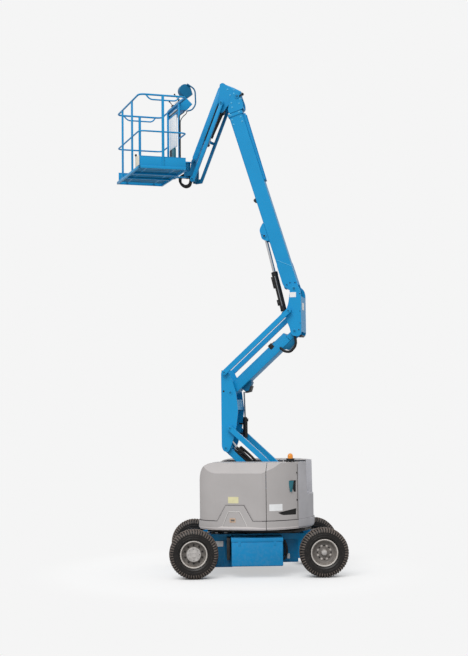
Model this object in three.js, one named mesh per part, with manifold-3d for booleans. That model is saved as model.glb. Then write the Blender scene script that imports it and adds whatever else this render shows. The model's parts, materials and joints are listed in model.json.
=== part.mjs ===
// Articulating boom lift: four-wheel chassis, slewing turntable, two-stage riser,
// telescopic primary boom, jib and a railed work platform.
// Millimetres, +Z up. +X is the counterweight and steering end, the platform is towards -X.
// Inside the turntable x runs rearwards, y across, and z is the height above the ground.

import * as THREE from 'three';
import { mergeVertices } from 'three/addons/utils/BufferGeometryUtils.js';
import Module from 'manifold-3d';

const wasm = await Module();
wasm.setup();

// ---------------------------------------------------------------- driving dimensions

const fitGap = 0.4;            // left between pieces that rest on each other
const runGap = 6;              // left between pieces that move past each other
const roundSides = 12;

const slewAxisX = 409;         // slewing axis, from the middle of the whole machine

const chassis = {
  wheelbase: 1880,
  trackWidth: 1500,
  railInner: 345,
  railThick: 35,
  bottomZ: 225,
  deckZ: 592,
  deckThick: 22,
  halfLength: 1050,
  axleRadius: 62,
};

const tyre = { radius: 355.5, width: 229, beadRadius: 190, segments: 24 };
const wheelHub = { backFace: 62, radius: 62 };
const kingpin = { y: 590, radius: 34, halfHeight: 78 };
const steering = { armLength: 150, armRise: 70, rodRadius: 15 };

const batteryBox = { middleX: -25, length: 738, inner: 388, outer: 800, bottomZ: 170, topZ: 566 };

const slewRing = { radius: 330, height: 42 };
const turntableYaw = 13.5;     // degrees, rear end towards -Y
const basePlate = { thick: 26, halfWidth: 560, frontX: -620, notchX: -500, notchHalf: 246 };
const tailRadius = 865;

const hood = {
  frontX: -742,
  sideY: 830,
  innerY: 346,
  cornerRadius: 330,
  bottomZ: 690,
  topZ: 1648,
  shoulderZ: 1503,
  shoulderY: 700,
  wall: 14,
  doorSeamX: 300,
  tailSeamX: 722,
  seamGap: 8,
};

const belt = {
  proud: 14, tuck: 18, round: 36, crease: 9, creaseDepth: 6,
  line: [[-1000, 816], [-408, 816], [-282, 1042], [-18, 1042], [112, 816], [1000, 816]],
  emblem: [[-340, 736], [-247, 954], [-77, 954], [33, 736]],
  emblemGroove: 7,
};

// lanes: distances across from the boom's own plane
const lane = {
  cylinder: 52,
  lug: [60, 78],
  lowerArm: [100, 170],
  upperArm: 165,
  plate: [217, 233],
  link: [240, 300],
  tower: [306, 330],
};

const armLength = 1340;        // between pins, all eight arms and links of the riser
const stageAngle = 42.5;       // degrees above level
const linkOffset = { x: 80, z: 303 };    // from the arm's pin to the link's pin
const lowerArmPin = { x: 580, z: 934 };  // on the turntable
const midPinGap = 532;         // between the lower link's and the upper arm's pins
const boomPinRise = 638;       // upper arm's pin to the boom's pin

const lowerArmHeight = 96;
const upperArmBox = { start: 36, end: 134, low: -52, high: 105, wall: 8 };
const hose = { radius: 12, pitch: 30, from: 120, short: 110 };
const midHose = { radius: 10, pitch: 21, firstX: 193, span: [140, 432], clampZ: [[133, 190], [178, 396]] };
const armPin = 30;
const linkPin = 22;
const boreGap = 0.4;

const liftBase = { x: 480, z: 900 };     // riser cylinder's base pin on the turntable
const liftEye = { x: 18, z: 121 };       // its rod's pin, from the lower arm's top pin
const boomCylBase = { x: -182, z: -367 };  // boom cylinder's base pin, from the boom's pin
const boomCylEye = { s: 925, h: -200 };  // its rod's pin, along and across the boom

const boomAngle = 72.8;
const boomTube = { low: -155, high: 57, half: 100, wall: 8, start: 62, end: 2890 };
const tray = { from: 1750, to: 2838, half: 58, wall: 4, low: 24, tall: 44 };
const roller = { s: 1500, drop: 26, radius: 17, half: 44 };
const innerTube = { gap: 10, wall: 8, start: 760 };
const headPin = { s: 3117, h: 62 };
const headPlate = [90, 106];

const jibAngle = -68.2;
const jibLength = 1248;
const jibUpperPin = { x: -230, z: 187 };   // from the boom head's pin
const jibLowerPin = { x: -244, z: -94 };
const jibLane = { plate: [68, 84], upper: 60, lower: [100, 150] };
const jibTube = { upperHeight: 84, lowerHeight: 76, pin: 20 };
const jibCylBase = { x: -252, z: -204 };   // from the boom head's pin
const jibCylEye = 600;                     // along the jib's lower arm

const rotator = { x: -110, radius: 48, low: 137, high: 268 };   // from the jib's lower pin
const platformYaw = 30.4;
const platform = {
  length: 1410,      // across the rotator
  width: 720,        // away from the rotator
  offset: 220,       // rotator's axis to the platform's edge
  floorZ: 27,        // underside of the floor, from the jib's lower pin
  railHeight: 1117,
  midRail: 556,
  toeHeight: 185,
  tube: 14,
  corner: 90,
  post: 19,
  slatPitch: 120,
  slatHalf: 34,
  gate: [-255, 365],  // the entry, between its two posts
  rearPosts: 316,
};

const control = {
  half: 330,
  face: [[-228, 1128], [-126, 1212], [-6, 1100], [-95, 1002], [-228, 992]],
  cover: { x: -107, z: 1313, radius: 100, span: [-330, -212] },
  guard: [[-94, 985], [-20, 1006], [40, 1090], [32, 1330], [-94, 1404]],
  guardRadius: 11,
};

// ---------------------------------------------------------------- solids

const radians = THREE.MathUtils.degToRad;

function solidOf(geometry) {
  const bare = new THREE.BufferGeometry();
  bare.setAttribute('position', geometry.getAttribute('position'));
  if (geometry.index) bare.setIndex(geometry.index);
  const merged = mergeVertices(bare, 1e-3);
  const corners = merged.index.array;
  const kept = [];
  for (let i = 0; i < corners.length; i += 3) {
    const [a, b, c] = [corners[i], corners[i + 1], corners[i + 2]];
    if (a !== b && b !== c && c !== a) kept.push(a, b, c);
  }
  return new wasm.Manifold(new wasm.Mesh({
    numProp: 3,
    vertProperties: Float32Array.from(merged.getAttribute('position').array),
    triVerts: Uint32Array.from(kept),
  }));
}

function geometryOf(solid) {
  const mesh = solid.getMesh();
  const geometry = new THREE.BufferGeometry();
  geometry.setAttribute('position', new THREE.BufferAttribute(mesh.vertProperties, 3));
  geometry.setIndex(new THREE.BufferAttribute(mesh.triVerts, 1));
  return geometry;
}

const join = (...pieces) => pieces.flat().reduce((whole, piece) => whole.add(piece));
const cut = (whole, ...tools) => tools.flat().reduce((rest, tool) => rest.subtract(tool), whole);
const common = (...pieces) => pieces.flat().reduce((whole, piece) => whole.intersect(piece));

// A block from its lowest to its highest corner.
function block([x0, x1], [y0, y1], [z0, z1]) {
  const geometry = new THREE.BoxGeometry(x1 - x0, y1 - y0, z1 - z0);
  geometry.translate((x0 + x1) / 2, (y0 + y1) / 2, (z0 + z1) / 2);
  return solidOf(geometry);
}

// An outline of [across, up] corners, each rounded by the same radius.
function outlineOf(corners, fillet = 0) {
  const shape = new THREE.Shape();
  const points = corners.map(([x, y]) => new THREE.Vector2(x, y));
  points.forEach((point, i) => {
    const before = points[(i + points.length - 1) % points.length];
    const after = points[(i + 1) % points.length];
    const reach = Math.min(fillet, point.distanceTo(before) / 2.1, point.distanceTo(after) / 2.1);
    const start = point.clone().add(before.clone().sub(point).setLength(reach));
    const end = point.clone().add(after.clone().sub(point).setLength(reach));
    if (i === 0) shape.moveTo(start.x, start.y);
    else shape.lineTo(start.x, start.y);
    if (fillet > 0) shape.quadraticCurveTo(point.x, point.y, end.x, end.y);
  });
  shape.closePath();
  return shape;
}

// Round holes, [across, up, radius], through an outline.
function drilled(shape, holes, sides = roundSides) {
  holes.forEach(([x, y, radius]) => {
    const points = Array.from({ length: sides }, (_, i) => {
      const angle = (-2 * Math.PI * i) / sides;
      return new THREE.Vector2(x + radius * Math.cos(angle), y + radius * Math.sin(angle));
    });
    shape.holes.push(new THREE.Path(points));
  });
  return shape;
}

// An outline in x and z, extruded across from one y to another.
function plateAcross(shape, [y0, y1], curveSegments = 2) {
  const geometry = new THREE.ExtrudeGeometry(shape, {
    depth: y1 - y0, bevelEnabled: false, curveSegments,
  });
  geometry.rotateX(Math.PI / 2);
  geometry.translate(0, y1, 0);
  return solidOf(geometry);
}

// An outline in x and y, extruded upwards.
function plateUp(shape, [z0, z1], curveSegments = 4) {
  const geometry = new THREE.ExtrudeGeometry(shape, {
    depth: z1 - z0, bevelEnabled: false, curveSegments,
  });
  geometry.translate(0, 0, z0);
  return solidOf(geometry);
}

// An outline in y and z, extruded along x.
function plateAlong(shape, [x0, x1], curveSegments = 2) {
  const geometry = new THREE.ExtrudeGeometry(shape, {
    depth: x1 - x0, bevelEnabled: false, curveSegments,
  });
  geometry.rotateZ(Math.PI / 2);
  geometry.rotateY(Math.PI / 2);
  geometry.translate(x0, 0, 0);
  return solidOf(geometry);
}

// A bore's corner radius, so that its flats still clear a turning pin's corners.
const boreFor = (pinRadius) => (pinRadius + boreGap) / Math.cos(Math.PI / roundSides);

const bothSides = ([near, far]) => [[-far, -near], [near, far]];

// A round bar across, from one y to another.
function barAcross(radius, x, z, [y0, y1], sides = roundSides) {
  const geometry = new THREE.CylinderGeometry(radius, radius, y1 - y0, sides);
  geometry.translate(x, (y0 + y1) / 2, z);
  return solidOf(geometry);
}

function barUp(radius, x, y, [z0, z1], sides = roundSides) {
  const geometry = new THREE.CylinderGeometry(radius, radius, z1 - z0, sides);
  geometry.rotateX(Math.PI / 2);
  geometry.translate(x, y, (z0 + z1) / 2);
  return solidOf(geometry);
}

function barAlong(radius, [x0, x1], y, z, sides = roundSides) {
  const geometry = new THREE.CylinderGeometry(radius, radius, x1 - x0, sides);
  geometry.rotateZ(Math.PI / 2);
  geometry.translate((x0 + x1) / 2, y, z);
  return solidOf(geometry);
}

// A bar that turns on the y axis: [radius, y] corners that close on the axis or on themselves.
function turned(profile, segments, side = 1) {
  const points = profile.map(([r, y]) => new THREE.Vector2(r, y));
  if (THREE.ShapeUtils.area(points) < 0) points.reverse();
  points.push(points[0].clone());
  const geometry = new THREE.LatheGeometry(points, segments);
  if (side < 0) geometry.rotateX(Math.PI);
  return solidOf(geometry);
}

// A path of straight runs with its corners bent to one radius.
class BentPath extends THREE.Curve {
  constructor(corners, bend, stepsPerBend = 3) {
    super();
    const points = corners.map((corner) => new THREE.Vector3(...corner));
    this.samples = [points[0]];
    for (let i = 1; i < points.length - 1; i += 1) {
      const [before, point, after] = [points[i - 1], points[i], points[i + 1]];
      const reach = Math.min(bend, point.distanceTo(before) / 2.1, point.distanceTo(after) / 2.1);
      const start = point.clone().add(before.clone().sub(point).setLength(reach));
      const end = point.clone().add(after.clone().sub(point).setLength(reach));
      const arc = new THREE.QuadraticBezierCurve3(start, point, end);
      this.samples.push(...arc.getPoints(stepsPerBend));
    }
    this.samples.push(points[points.length - 1]);
  }

  getSpacedPoints() { return this.samples; }

  getPointAt(t) { return this.samples[Math.round(t * (this.samples.length - 1))]; }

  getTangentAt(t) {
    const last = this.samples.length - 1;
    const i = Math.round(t * last);
    return this.samples[Math.min(i + 1, last)].clone()
      .sub(this.samples[Math.max(i - 1, 0)]).normalize();
  }
}

function bentTube(corners, radius, bend = 60, sides = 8, stepsPerBend = 3) {
  const path = new BentPath(corners, bend, stepsPerBend);
  const section = new THREE.Shape();
  section.absarc(0, 0, radius, 0, Math.PI * 2);
  return solidOf(new THREE.ExtrudeGeometry(section, {
    extrudePath: path, steps: path.samples.length - 1, curveSegments: sides / 2,
  }));
}

// ---------------------------------------------------------------- materials and nodes

const paint = (color, roughness, metalness = 0) =>
  new THREE.MeshStandardMaterial({ color, roughness, metalness });

const finish = {
  bluePaint: paint(0x1f8fd0, 0.35),
  greyShell: paint(0xa9a7a9, 0.5),
  greyCasting: paint(0x9ea0a5, 0.6),
  tyreRubber: paint(0x1c1b1a, 0.9),
  rimPaint: paint(0x8f9092, 0.45, 0.2),
  blackSteel: paint(0x1b1c1d, 0.5, 0.4),
  chrome: paint(0xd0d0d0, 0.15, 1),
  steel: paint(0x8b8f94, 0.4, 0.9),
  amberLens: paint(0xf08010, 0.2),
  darkBlue: paint(0x17629c, 0.4),
  greyPlastic: paint(0xdddddb, 0.5),
};

const machine = new THREE.Group();
machine.name = 'machine';
machine.position.x = slewAxisX;

function place(parent, name, solid, material) {
  const mesh = new THREE.Mesh(geometryOf(solid), material);
  mesh.name = name;
  parent.add(mesh);
}

// A group that turns with a joint; x, y and z are in its parent.
function pivotAt(parent, name, [x, y, z], { pitch = 0, yaw = 0 } = {}) {
  const group = new THREE.Group();
  group.name = name;
  group.position.set(x, y, z);
  group.rotation.set(0, radians(pitch), radians(yaw));
  parent.add(group);
  return group;
}

// ---------------------------------------------------------------- chassis

const axleX = chassis.wheelbase / 2;
const hubFace = chassis.trackWidth / 2 - wheelHub.backFace - runGap;

function chassisFrame() {
  const { railInner, railThick, bottomZ, deckZ, deckThick, halfLength } = chassis;
  const railOutline = outlineOf([
    [-halfLength, 300], [-halfLength + 60, 470], [-820, deckZ - 22], [-700, deckZ],
    [700, deckZ], [820, deckZ - 22], [halfLength - 60, 470], [halfLength, 300],
    [760, 294], [690, bottomZ], [-800, bottomZ],
  ], 40);
  const railOuter = railInner + railThick;
  const rails = bothSides([railInner, railOuter]).map((span) => plateAcross(railOutline, span));
  const deck = block([-690, 690], [-railOuter, railOuter], [deckZ - deckThick, deckZ]);
  const belly = cut(block([-780, 680], [-railOuter, railOuter], [bottomZ, bottomZ + 14]),
    block([-420, 420], [-240, 240], [bottomZ - 5, bottomZ + 20]));
  const ends = [-1, 1].map((end) => {
    const face = end * (halfLength - 42);
    return block([Math.min(face, face - end * 20), Math.max(face, face - end * 20)],
      [-railInner - 2, railInner + 2], [318, 440]);
  });
  const bulkheads = [-560, 560].map((x) => block([x - 8, x + 8],
    [-railInner - 2, railInner + 2], [bottomZ, deckZ]));
  const driveAxle = barAcross(chassis.axleRadius, -axleX, tyre.radius, [-hubFace + 190, hubFace - 190]);
  const driveMotors = [-1, 1].map((side) => {
    const profile = [[0, 0], [92, 0], [92, 60], [78, 70], [78, 150], [62, 160], [62, 200], [0, 200]];
    const motor = turned(profile.map(([r, y]) => [r, y - 200]), roundSides, side);
    return motor.translate([-axleX, side * hubFace, tyre.radius]);
  });
  return join(rails, deck, belly, ends, bulkheads, driveAxle, driveMotors);
}

// The steering axle: a beam through both rails, and a forked yoke with its king pin at each end.
function steerYokes() {
  const { y, radius, halfHeight } = kingpin;
  const z = tyre.radius;
  const beamHalf = [55, 45];
  const jaw = { inner: y - 75, outer: y + 42, thick: 22, half: 48 };
  const gap = halfHeight + runGap;
  const beam = block([axleX - beamHalf[0], axleX + beamHalf[0]],
    [62 - y, y - 62], [z - beamHalf[1], z + beamHalf[1]]);
  const jaws = [-1, 1].flatMap((side) => [z - gap - jaw.thick, z + gap].map((low) =>
    block([axleX - jaw.half, axleX + jaw.half],
      side < 0 ? [-jaw.outer, -jaw.inner] : [jaw.inner, jaw.outer], [low, low + jaw.thick])));
  const cheeks = bothSides([jaw.inner, jaw.inner + 20]).map((span) =>
    block([axleX - 25, axleX + 25], span, [z - gap - jaw.thick, z + gap + jaw.thick]));
  const pins = [-1, 1].map((side) => barUp(radius - 12, axleX, side * y,
    [z - gap - jaw.thick - 8, z + gap + jaw.thick + 8]));
  return join(beam, jaws, cheeks, pins);
}

function steerKnuckle(side) {
  const { radius, halfHeight } = kingpin;
  const barrel = barUp(radius, 0, 0, [-halfHeight, halfHeight]);
  const reach = hubFace - kingpin.y;
  const flangeProfile = [[0, -reach], [44, -reach], [44, -20], [74, -12], [74, 0], [0, 0]];
  const flange = turned(flangeProfile, roundSides, side).translate([0, side * reach, 0]);
  const arm = plateUp(outlineOf([
    [-20, -22], [-steering.armLength - 24, -22], [-steering.armLength - 24, 22], [-20, 22],
  ], 20), [-66, -46]);
  const bore = barUp(boreFor(radius - 12), 0, 0, [-halfHeight - 1, halfHeight + 1]);
  const eye = barUp(boreFor(12), -steering.armLength, 0, [-70, -40]);
  return cut(join(barrel, flange, arm), bore, eye);
}

function tieRod() {
  const span = 2 * kingpin.y;
  const bar = barAcross(steering.rodRadius, 0, -92, [0, span]);
  const ends = [0, span].map((y) => barUp(24, 0, y, [-106, -74]));
  const studs = [0, span].map((y) => barUp(12, 0, y, [-76, -42]));
  return join(bar, ends, studs);
}

function batteryCase(side) {
  const { middleX, length, inner, outer, bottomZ, topZ } = batteryBox;
  const outline = outlineOf([
    [middleX - length / 2, bottomZ + 40], [middleX - length / 2, topZ],
    [middleX + length / 2, topZ], [middleX + length / 2, bottomZ + 40],
    [middleX + length / 2 - 60, bottomZ], [middleX - length / 2 + 60, bottomZ],
  ], 14);
  const lid = block([middleX - length / 2 - 6, middleX + length / 2 + 6],
    side < 0 ? [-outer - 5, -inner] : [inner, outer + 5], [topZ - 70, topZ + 8]);
  return join(plateAcross(outline, side < 0 ? [-outer, -inner] : [inner, outer]), lid);
}

place(machine, 'chassis_frame', join(chassisFrame(), steerYokes()), finish.bluePaint);
place(machine, 'battery_box_near', batteryCase(-1), finish.bluePaint);
place(machine, 'battery_box_far', batteryCase(1), finish.bluePaint);
place(machine, 'slewing_ring', barUp(slewRing.radius, 0, 0,
  [chassis.deckZ + fitGap, chassis.deckZ + slewRing.height], 40), finish.blackSteel);

// ---------------------------------------------------------------- wheels

function tyreSolid(side) {
  const { radius, width, beadRadius, segments } = tyre;
  const half = width / 2;
  const profile = [
    [beadRadius, -half + 25], [beadRadius + 18, -half + 12], [280, -half], [336, -half + 8],
    [radius, -half + 36], [radius, half - 36],
    [336, half - 8], [280, half], [beadRadius + 18, half - 12], [beadRadius, half - 25],
  ];
  return turned(profile, segments, side);
}

function rimSolid(side, driven) {
  const seat = tyre.beadRadius - fitGap;
  const lip = tyre.width / 2 - 8;
  const back = -wheelHub.backFace;
  const hub = driven
    ? [[0, 104], [98, 104], [108, 92], [108, 40]]
    : [[0, 92], [34, 86], [52, 66], [58, 44], [108, 34]];
  const profile = [
    ...hub,
    [128, 30], [162, 60], [182, lip], [seat, lip - 14],
    [seat, -lip + 14], [178, -lip], [166, 16], [wheelHub.radius, 8], [wheelHub.radius, back], [0, back],
  ];
  return turned(profile, tyre.segments, side);
}

const kingpins = {};
for (const [side, sideName] of [[-1, 'near'], [1, 'far']]) {
  const drive = pivotAt(machine, `pivot_wheel_drive_${sideName}`,
    [-axleX, side * chassis.trackWidth / 2, tyre.radius]);
  place(drive, `tyre_drive_${sideName}`, tyreSolid(side), finish.tyreRubber);
  place(drive, `rim_drive_${sideName}`, rimSolid(side, true), finish.rimPaint);

  kingpins[sideName] = pivotAt(machine, `pivot_steer_${sideName}`,
    [axleX, side * kingpin.y, tyre.radius]);
  place(kingpins[sideName], `steer_knuckle_${sideName}`, steerKnuckle(side), finish.blackSteel);
  const steer = pivotAt(kingpins[sideName], `pivot_wheel_steer_${sideName}`,
    [0, side * (chassis.trackWidth / 2 - kingpin.y), 0]);
  place(steer, `tyre_steer_${sideName}`, tyreSolid(side), finish.tyreRubber);
  place(steer, `rim_steer_${sideName}`, rimSolid(side, false), finish.rimPaint);
}
const tieRodPivot = pivotAt(kingpins.near, 'pivot_tie_rod', [-steering.armLength, 0, 0]);
place(tieRodPivot, 'tie_rod', tieRod(), finish.steel);

// ---------------------------------------------------------------- turntable

const turntable = pivotAt(machine, 'pivot_turntable', [0, 0, 0], { yaw: -turntableYaw });
const baseZ = chassis.deckZ + slewRing.height + fitGap;
const baseTop = baseZ + basePlate.thick;
const lowerLinkPin = { x: lowerArmPin.x + linkOffset.x, z: lowerArmPin.z + linkOffset.z };

// The turntable's plan, grown outwards by a distance.
function planShape(grow) {
  const shape = new THREE.Shape();
  const side = hood.sideY + grow;
  const tail = tailRadius + grow;
  const front = hood.frontX - grow;
  const corner = hood.cornerRadius + grow;
  const tailStart = Math.asin(Math.min(side / tail, 1));
  shape.moveTo(front, -side + corner);
  shape.absarc(front + corner, side - corner, corner, Math.PI, Math.PI / 2, true);
  shape.absarc(0, 0, tail, tailStart, -tailStart, true);
  shape.absarc(front + corner, -side + corner, corner, -Math.PI / 2, -Math.PI, true);
  shape.closePath();
  return shape;
}

const sliceOf = ({ fromX, toX, innerY }, [z0, z1] = [-10, 3010]) =>
  block([fromX, toX], [innerY, 2000], [z0, z1]);

function hoodForm(grow, span) {
  const side = hood.sideY + grow;
  const top = hood.topZ + grow;
  const front = hood.frontX - grow;
  const profile = new THREE.Shape();
  profile.moveTo(front, -10);
  profile.lineTo(front, 1240);
  profile.bezierCurveTo(front, 1440, front + 50, top, front + 230, top);
  profile.lineTo(1000, top);
  profile.lineTo(1000, -10);
  profile.closePath();
  const section = outlineOf([
    [-10, -10], [side, -10], [side, hood.shoulderZ + grow * 0.6],
    [hood.shoulderY + grow, top], [-10, top],
  ]);
  return common(
    plateUp(planShape(grow), [0, 3000], 6),
    plateAcross(profile, [0, 2000], 8),
    plateAlong(section, [-1000, 1000]),
    sliceOf(span),
  );
}

// The belt's upper line, raised and widened by a distance.
function beltLine(rise) {
  const middle = (belt.line[2][0] + belt.line[3][0]) / 2;
  return belt.line.map(([x, z], i) => {
    const sloped = i > 0 && i < belt.line.length - 1;
    return [x + (sloped ? Math.sign(x - middle) * rise : 0), z + rise];
  });
}

function beltForm(span) {
  const face = outlineOf([...beltLine(0), [1000, hood.bottomZ], [-1000, hood.bottomZ]]);
  const skirt = new THREE.ExtrudeGeometry(planShape(-belt.tuck), {
    depth: 500, bevelEnabled: true, bevelSize: belt.tuck + belt.proud, bevelThickness: belt.round,
    bevelSegments: 3, curveSegments: 6,
  });
  skirt.translate(0, 0, hood.bottomZ + belt.round);
  return common(solidOf(skirt), plateAcross(face, [0, 2000]), sliceOf(span));
}

// A crease that follows the belt's upper line, sunk into the hood's own surface.
function creaseTool() {
  const band = outlineOf([...beltLine(belt.crease), ...beltLine(0).reverse()]);
  const core = hoodForm(-belt.creaseDepth, { fromX: -1000, toX: 1000, innerY: 1 });
  return cut(plateAcross(band, [2, 2000]), core);
}

// A groove round the emblem panel on the belt's flat side.
function emblemGroove() {
  const middle = belt.emblem.reduce((sum, [x, z]) => [sum[0] + x / 4, sum[1] + z / 4], [0, 0]);
  const inner = belt.emblem.map(([x, z]) =>
    [x - Math.sign(x - middle[0]) * belt.emblemGroove * 1.6, z - Math.sign(z - middle[1]) * belt.emblemGroove]);
  const depthY = hood.sideY + belt.proud - belt.creaseDepth;
  return cut(plateAcross(outlineOf(belt.emblem, 16), [depthY, 1000]),
    plateAcross(outlineOf(inner, 12), [0, 1001]));
}

function shellOver(span) {
  const outer = common(join(hoodForm(0, span), beltForm(span)),
    block([-1000, 1000], [span.innerY, 2000], [hood.bottomZ, 2000]));
  const wide = { fromX: -1000, toX: 1000, innerY: 0 };
  const hollow = common(hoodForm(-hood.wall, { ...wide, innerY: 1 }),
    block([-1000, 1000], [0, 2000], [-10, 2000]));
  return cut(outer, hollow, creaseTool());
}

function mirrored(solid, side) {
  return side < 0 ? solid.mirror([0, 1, 0]) : solid;
}

function doorSolid() {
  return cut(shellOver({ fromX: -1000, toX: hood.doorSeamX, innerY: hood.innerY }), emblemGroove());
}

function rearPanelSolid() {
  const panel = shellOver({
    fromX: hood.doorSeamX + hood.seamGap, toX: hood.tailSeamX - fitGap, innerY: hood.innerY,
  });
  const handle = plateAcross(outlineOf([[612, 1388], [700, 1388], [700, 1218], [664, 1222]], 12), [500, 1000]);
  const vent = plateAcross(outlineOf([[455, 934], [700, 984], [700, 892], [520, 896]], 14), [500, 1000]);
  return cut(panel, handle, vent);
}

function counterweight() {
  const span = { fromX: hood.tailSeamX, toX: 1000, innerY: 0 };
  const half = cut(common(join(hoodForm(0, span), beltForm(span)),
    block([0, 1000], [0, 2000], [hood.bottomZ, 2000])), creaseTool());
  const whole = join(half, half.mirror([0, 1, 0]));
  const notch = plateAlong(outlineOf([
    [-lane.plate[1] - 22, 1160], [lane.plate[1] + 22, 1160], [lane.plate[1] + 60, 1700], [-lane.plate[1] - 60, 1700],
  ]), [500, 1000]);
  return cut(whole, notch);
}

function turntableBase() {
  const { frontX, halfWidth, notchX, notchHalf } = basePlate;
  const floor = cut(
    common(plateUp(planShape(-30), [baseZ, baseTop]), block([frontX, 1000], [-halfWidth, halfWidth], [0, 1000])),
    block([frontX - 10, notchX], [-notchHalf, notchHalf], [0, 1000]),
  );
  const seat = block([tailRadius - 300, tailRadius - 60], [-400, 400], [baseTop - 1, hood.bottomZ - fitGap]);
  const towerOutline = outlineOf([
    [330, baseTop - 2], [400, 1010], [600, 1292], [700, 1292], [716, 1180], [716, baseTop - 2],
  ], 46);
  const towers = bothSides(lane.tower).map((y) => plateAcross(towerOutline, y));
  const armPinBar = barAcross(armPin, lowerArmPin.x, lowerArmPin.z, [-lane.tower[0] - 2, lane.tower[0] + 2]);
  const linkStubs = bothSides([lane.link[0] - 2, lane.tower[0] + 2]).map((y) =>
    barAcross(linkPin, lowerLinkPin.x, lowerLinkPin.z, y));
  const lugOutline = outlineOf([
    [liftBase.x - 90, baseTop - 2], [liftBase.x - 46, liftBase.z + 30], [liftBase.x, liftBase.z + 48],
    [liftBase.x + 46, liftBase.z + 20], [liftBase.x + 70, baseTop - 2],
  ], 26);
  const lugs = bothSides(lane.lug).map((y) => plateAcross(lugOutline, y));
  const liftPin = barAcross(25, liftBase.x, liftBase.z, [-lane.lug[0] - 2, lane.lug[0] + 2]);
  return join(floor, seat, towers, armPinBar, linkStubs, lugs, liftPin);
}

function powerUnit() {
  const crankcase = plateAcross(outlineOf([
    [-430, baseTop + fitGap], [-430, 1150], [-330, 1290], [60, 1290], [160, 1120], [160, baseTop + fitGap],
  ], 30), [lane.tower[1] + 60, 700]);
  return crankcase;
}

function tank() {
  return plateAcross(outlineOf([
    [-460, baseTop + fitGap], [-460, 1260], [140, 1260], [140, baseTop + fitGap],
  ], 60), [-720, -lane.tower[1] - 60]);
}

function beacon() {
  const x = 606;
  const y = -450;
  const post = barUp(20, x, y, [hood.topZ + fitGap, hood.topZ + 26]);
  const foot = barUp(46, x, y, [hood.topZ + 24, hood.topZ + 40]);
  const lens = solidOf(new THREE.LatheGeometry([
    [0, 0], [40, 0], [40, 58], [32, 78], [16, 86], [0, 88],
  ].map(([r, z]) => new THREE.Vector2(r, z)), 16).rotateX(Math.PI / 2));
  return { stand: join(post, foot), lens: lens.translate([x, y, hood.topZ + 40 + fitGap]) };
}

place(turntable, 'turntable_base', turntableBase(), finish.bluePaint);
place(turntable, 'counterweight', counterweight(), finish.greyCasting);
place(turntable, 'power_unit', powerUnit(), finish.blackSteel);
place(turntable, 'hydraulic_tank', tank(), finish.blackSteel);
place(turntable, 'beacon_stand', beacon().stand, finish.blackSteel);
place(turntable, 'beacon_lens', beacon().lens, finish.amberLens);
for (const [side, sideName] of [[-1, 'near'], [1, 'far']]) {
  place(turntable, `rear_panel_${sideName}`, mirrored(rearPanelSolid(), side), finish.greyShell);
  const hinge = pivotAt(turntable, `pivot_door_${sideName}`, [0, side * hood.innerY, hood.topZ]);
  place(hinge, `door_${sideName}`,
    mirrored(doorSolid(), side).translate([0, -side * hood.innerY, -hood.topZ]), finish.greyShell);
}

// ---------------------------------------------------------------- riser

// A straight arm towards -X or +X: one outline with round ends, bored at both pins.
function straightArm({ length, height, spans, pin, towards = -1, endRadius = height / 2 }) {
  const shape = new THREE.Shape();
  const low = Math.min(0, towards * length);
  const turn = Math.asin(height / 2 / endRadius);
  shape.absarc(low, 0, endRadius, turn, 2 * Math.PI - turn, false);
  shape.absarc(low + length, 0, endRadius, -Math.PI + turn, Math.PI - turn, false);
  drilled(shape, [[0, 0, boreFor(pin)], [towards * length, 0, boreFor(pin)]]);
  return spans.map((y) => plateAcross(shape, y, 4)).reduce((whole, bar) => whole.add(bar));
}

function lowerArmSolid() {
  const spans = bothSides(lane.lowerArm);
  const tubes = straightArm({ length: armLength, height: lowerArmHeight, spans, pin: armPin });
  const sleeves = [0, -armLength].map((x) => cut(
    barAcross(46, x, 0, [-lane.lowerArm[0] - 1, lane.lowerArm[0] + 1]),
    barAcross(boreFor(armPin), x, 0, [-200, 200]),
  ));
  return join(tubes, sleeves);
}

const riser = pivotAt(turntable, 'pivot_lower_arm', [lowerArmPin.x, 0, lowerArmPin.z], { pitch: stageAngle });
place(riser, 'lower_arm', lowerArmSolid(), finish.bluePaint);

// Hoses in clamps along the near side of the lower arm.
function riserHoses() {
  const { radius, pitch, from } = hose;
  const to = armLength - hose.short;
  const [inner] = lane.lowerArm;
  const rest = lowerArmHeight / 2 + fitGap;
  const lines = [0, 1].map((i) =>
    barAlong(radius, [-to, -from], -inner - 20 - i * pitch, rest + radius + 3, 8));
  const clamps = [0.08, 0.36, 0.64, 0.92].map((share) => {
    const x = -from - share * (to - from);
    return block([x - 13, x + 13], [-inner - 20 - pitch - radius - 4, -inner - 2], [rest, rest + 2 * radius + 7]);
  });
  return join(lines, clamps);
}
place(riser, 'riser_hoses', riserHoses(), finish.blackSteel);

const linkSpans = bothSides(lane.link);
const lowerLinks = pivotAt(turntable, 'pivot_lower_links', [lowerLinkPin.x, 0, lowerLinkPin.z], { pitch: stageAngle });
['near', 'far'].forEach((sideName, i) => place(lowerLinks, `lower_link_${sideName}`,
  straightArm({ length: armLength, height: 76, spans: [linkSpans[i]], pin: linkPin, endRadius: 42 }),
  finish.bluePaint));

const mid = pivotAt(riser, 'pivot_mid', [-armLength, 0, 0], { pitch: -stageAngle });
const upperArmPin = { x: linkOffset.x, z: linkOffset.z + midPinGap };
const upperLinkPin = { x: 0, z: upperArmPin.z + linkOffset.z };

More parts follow.
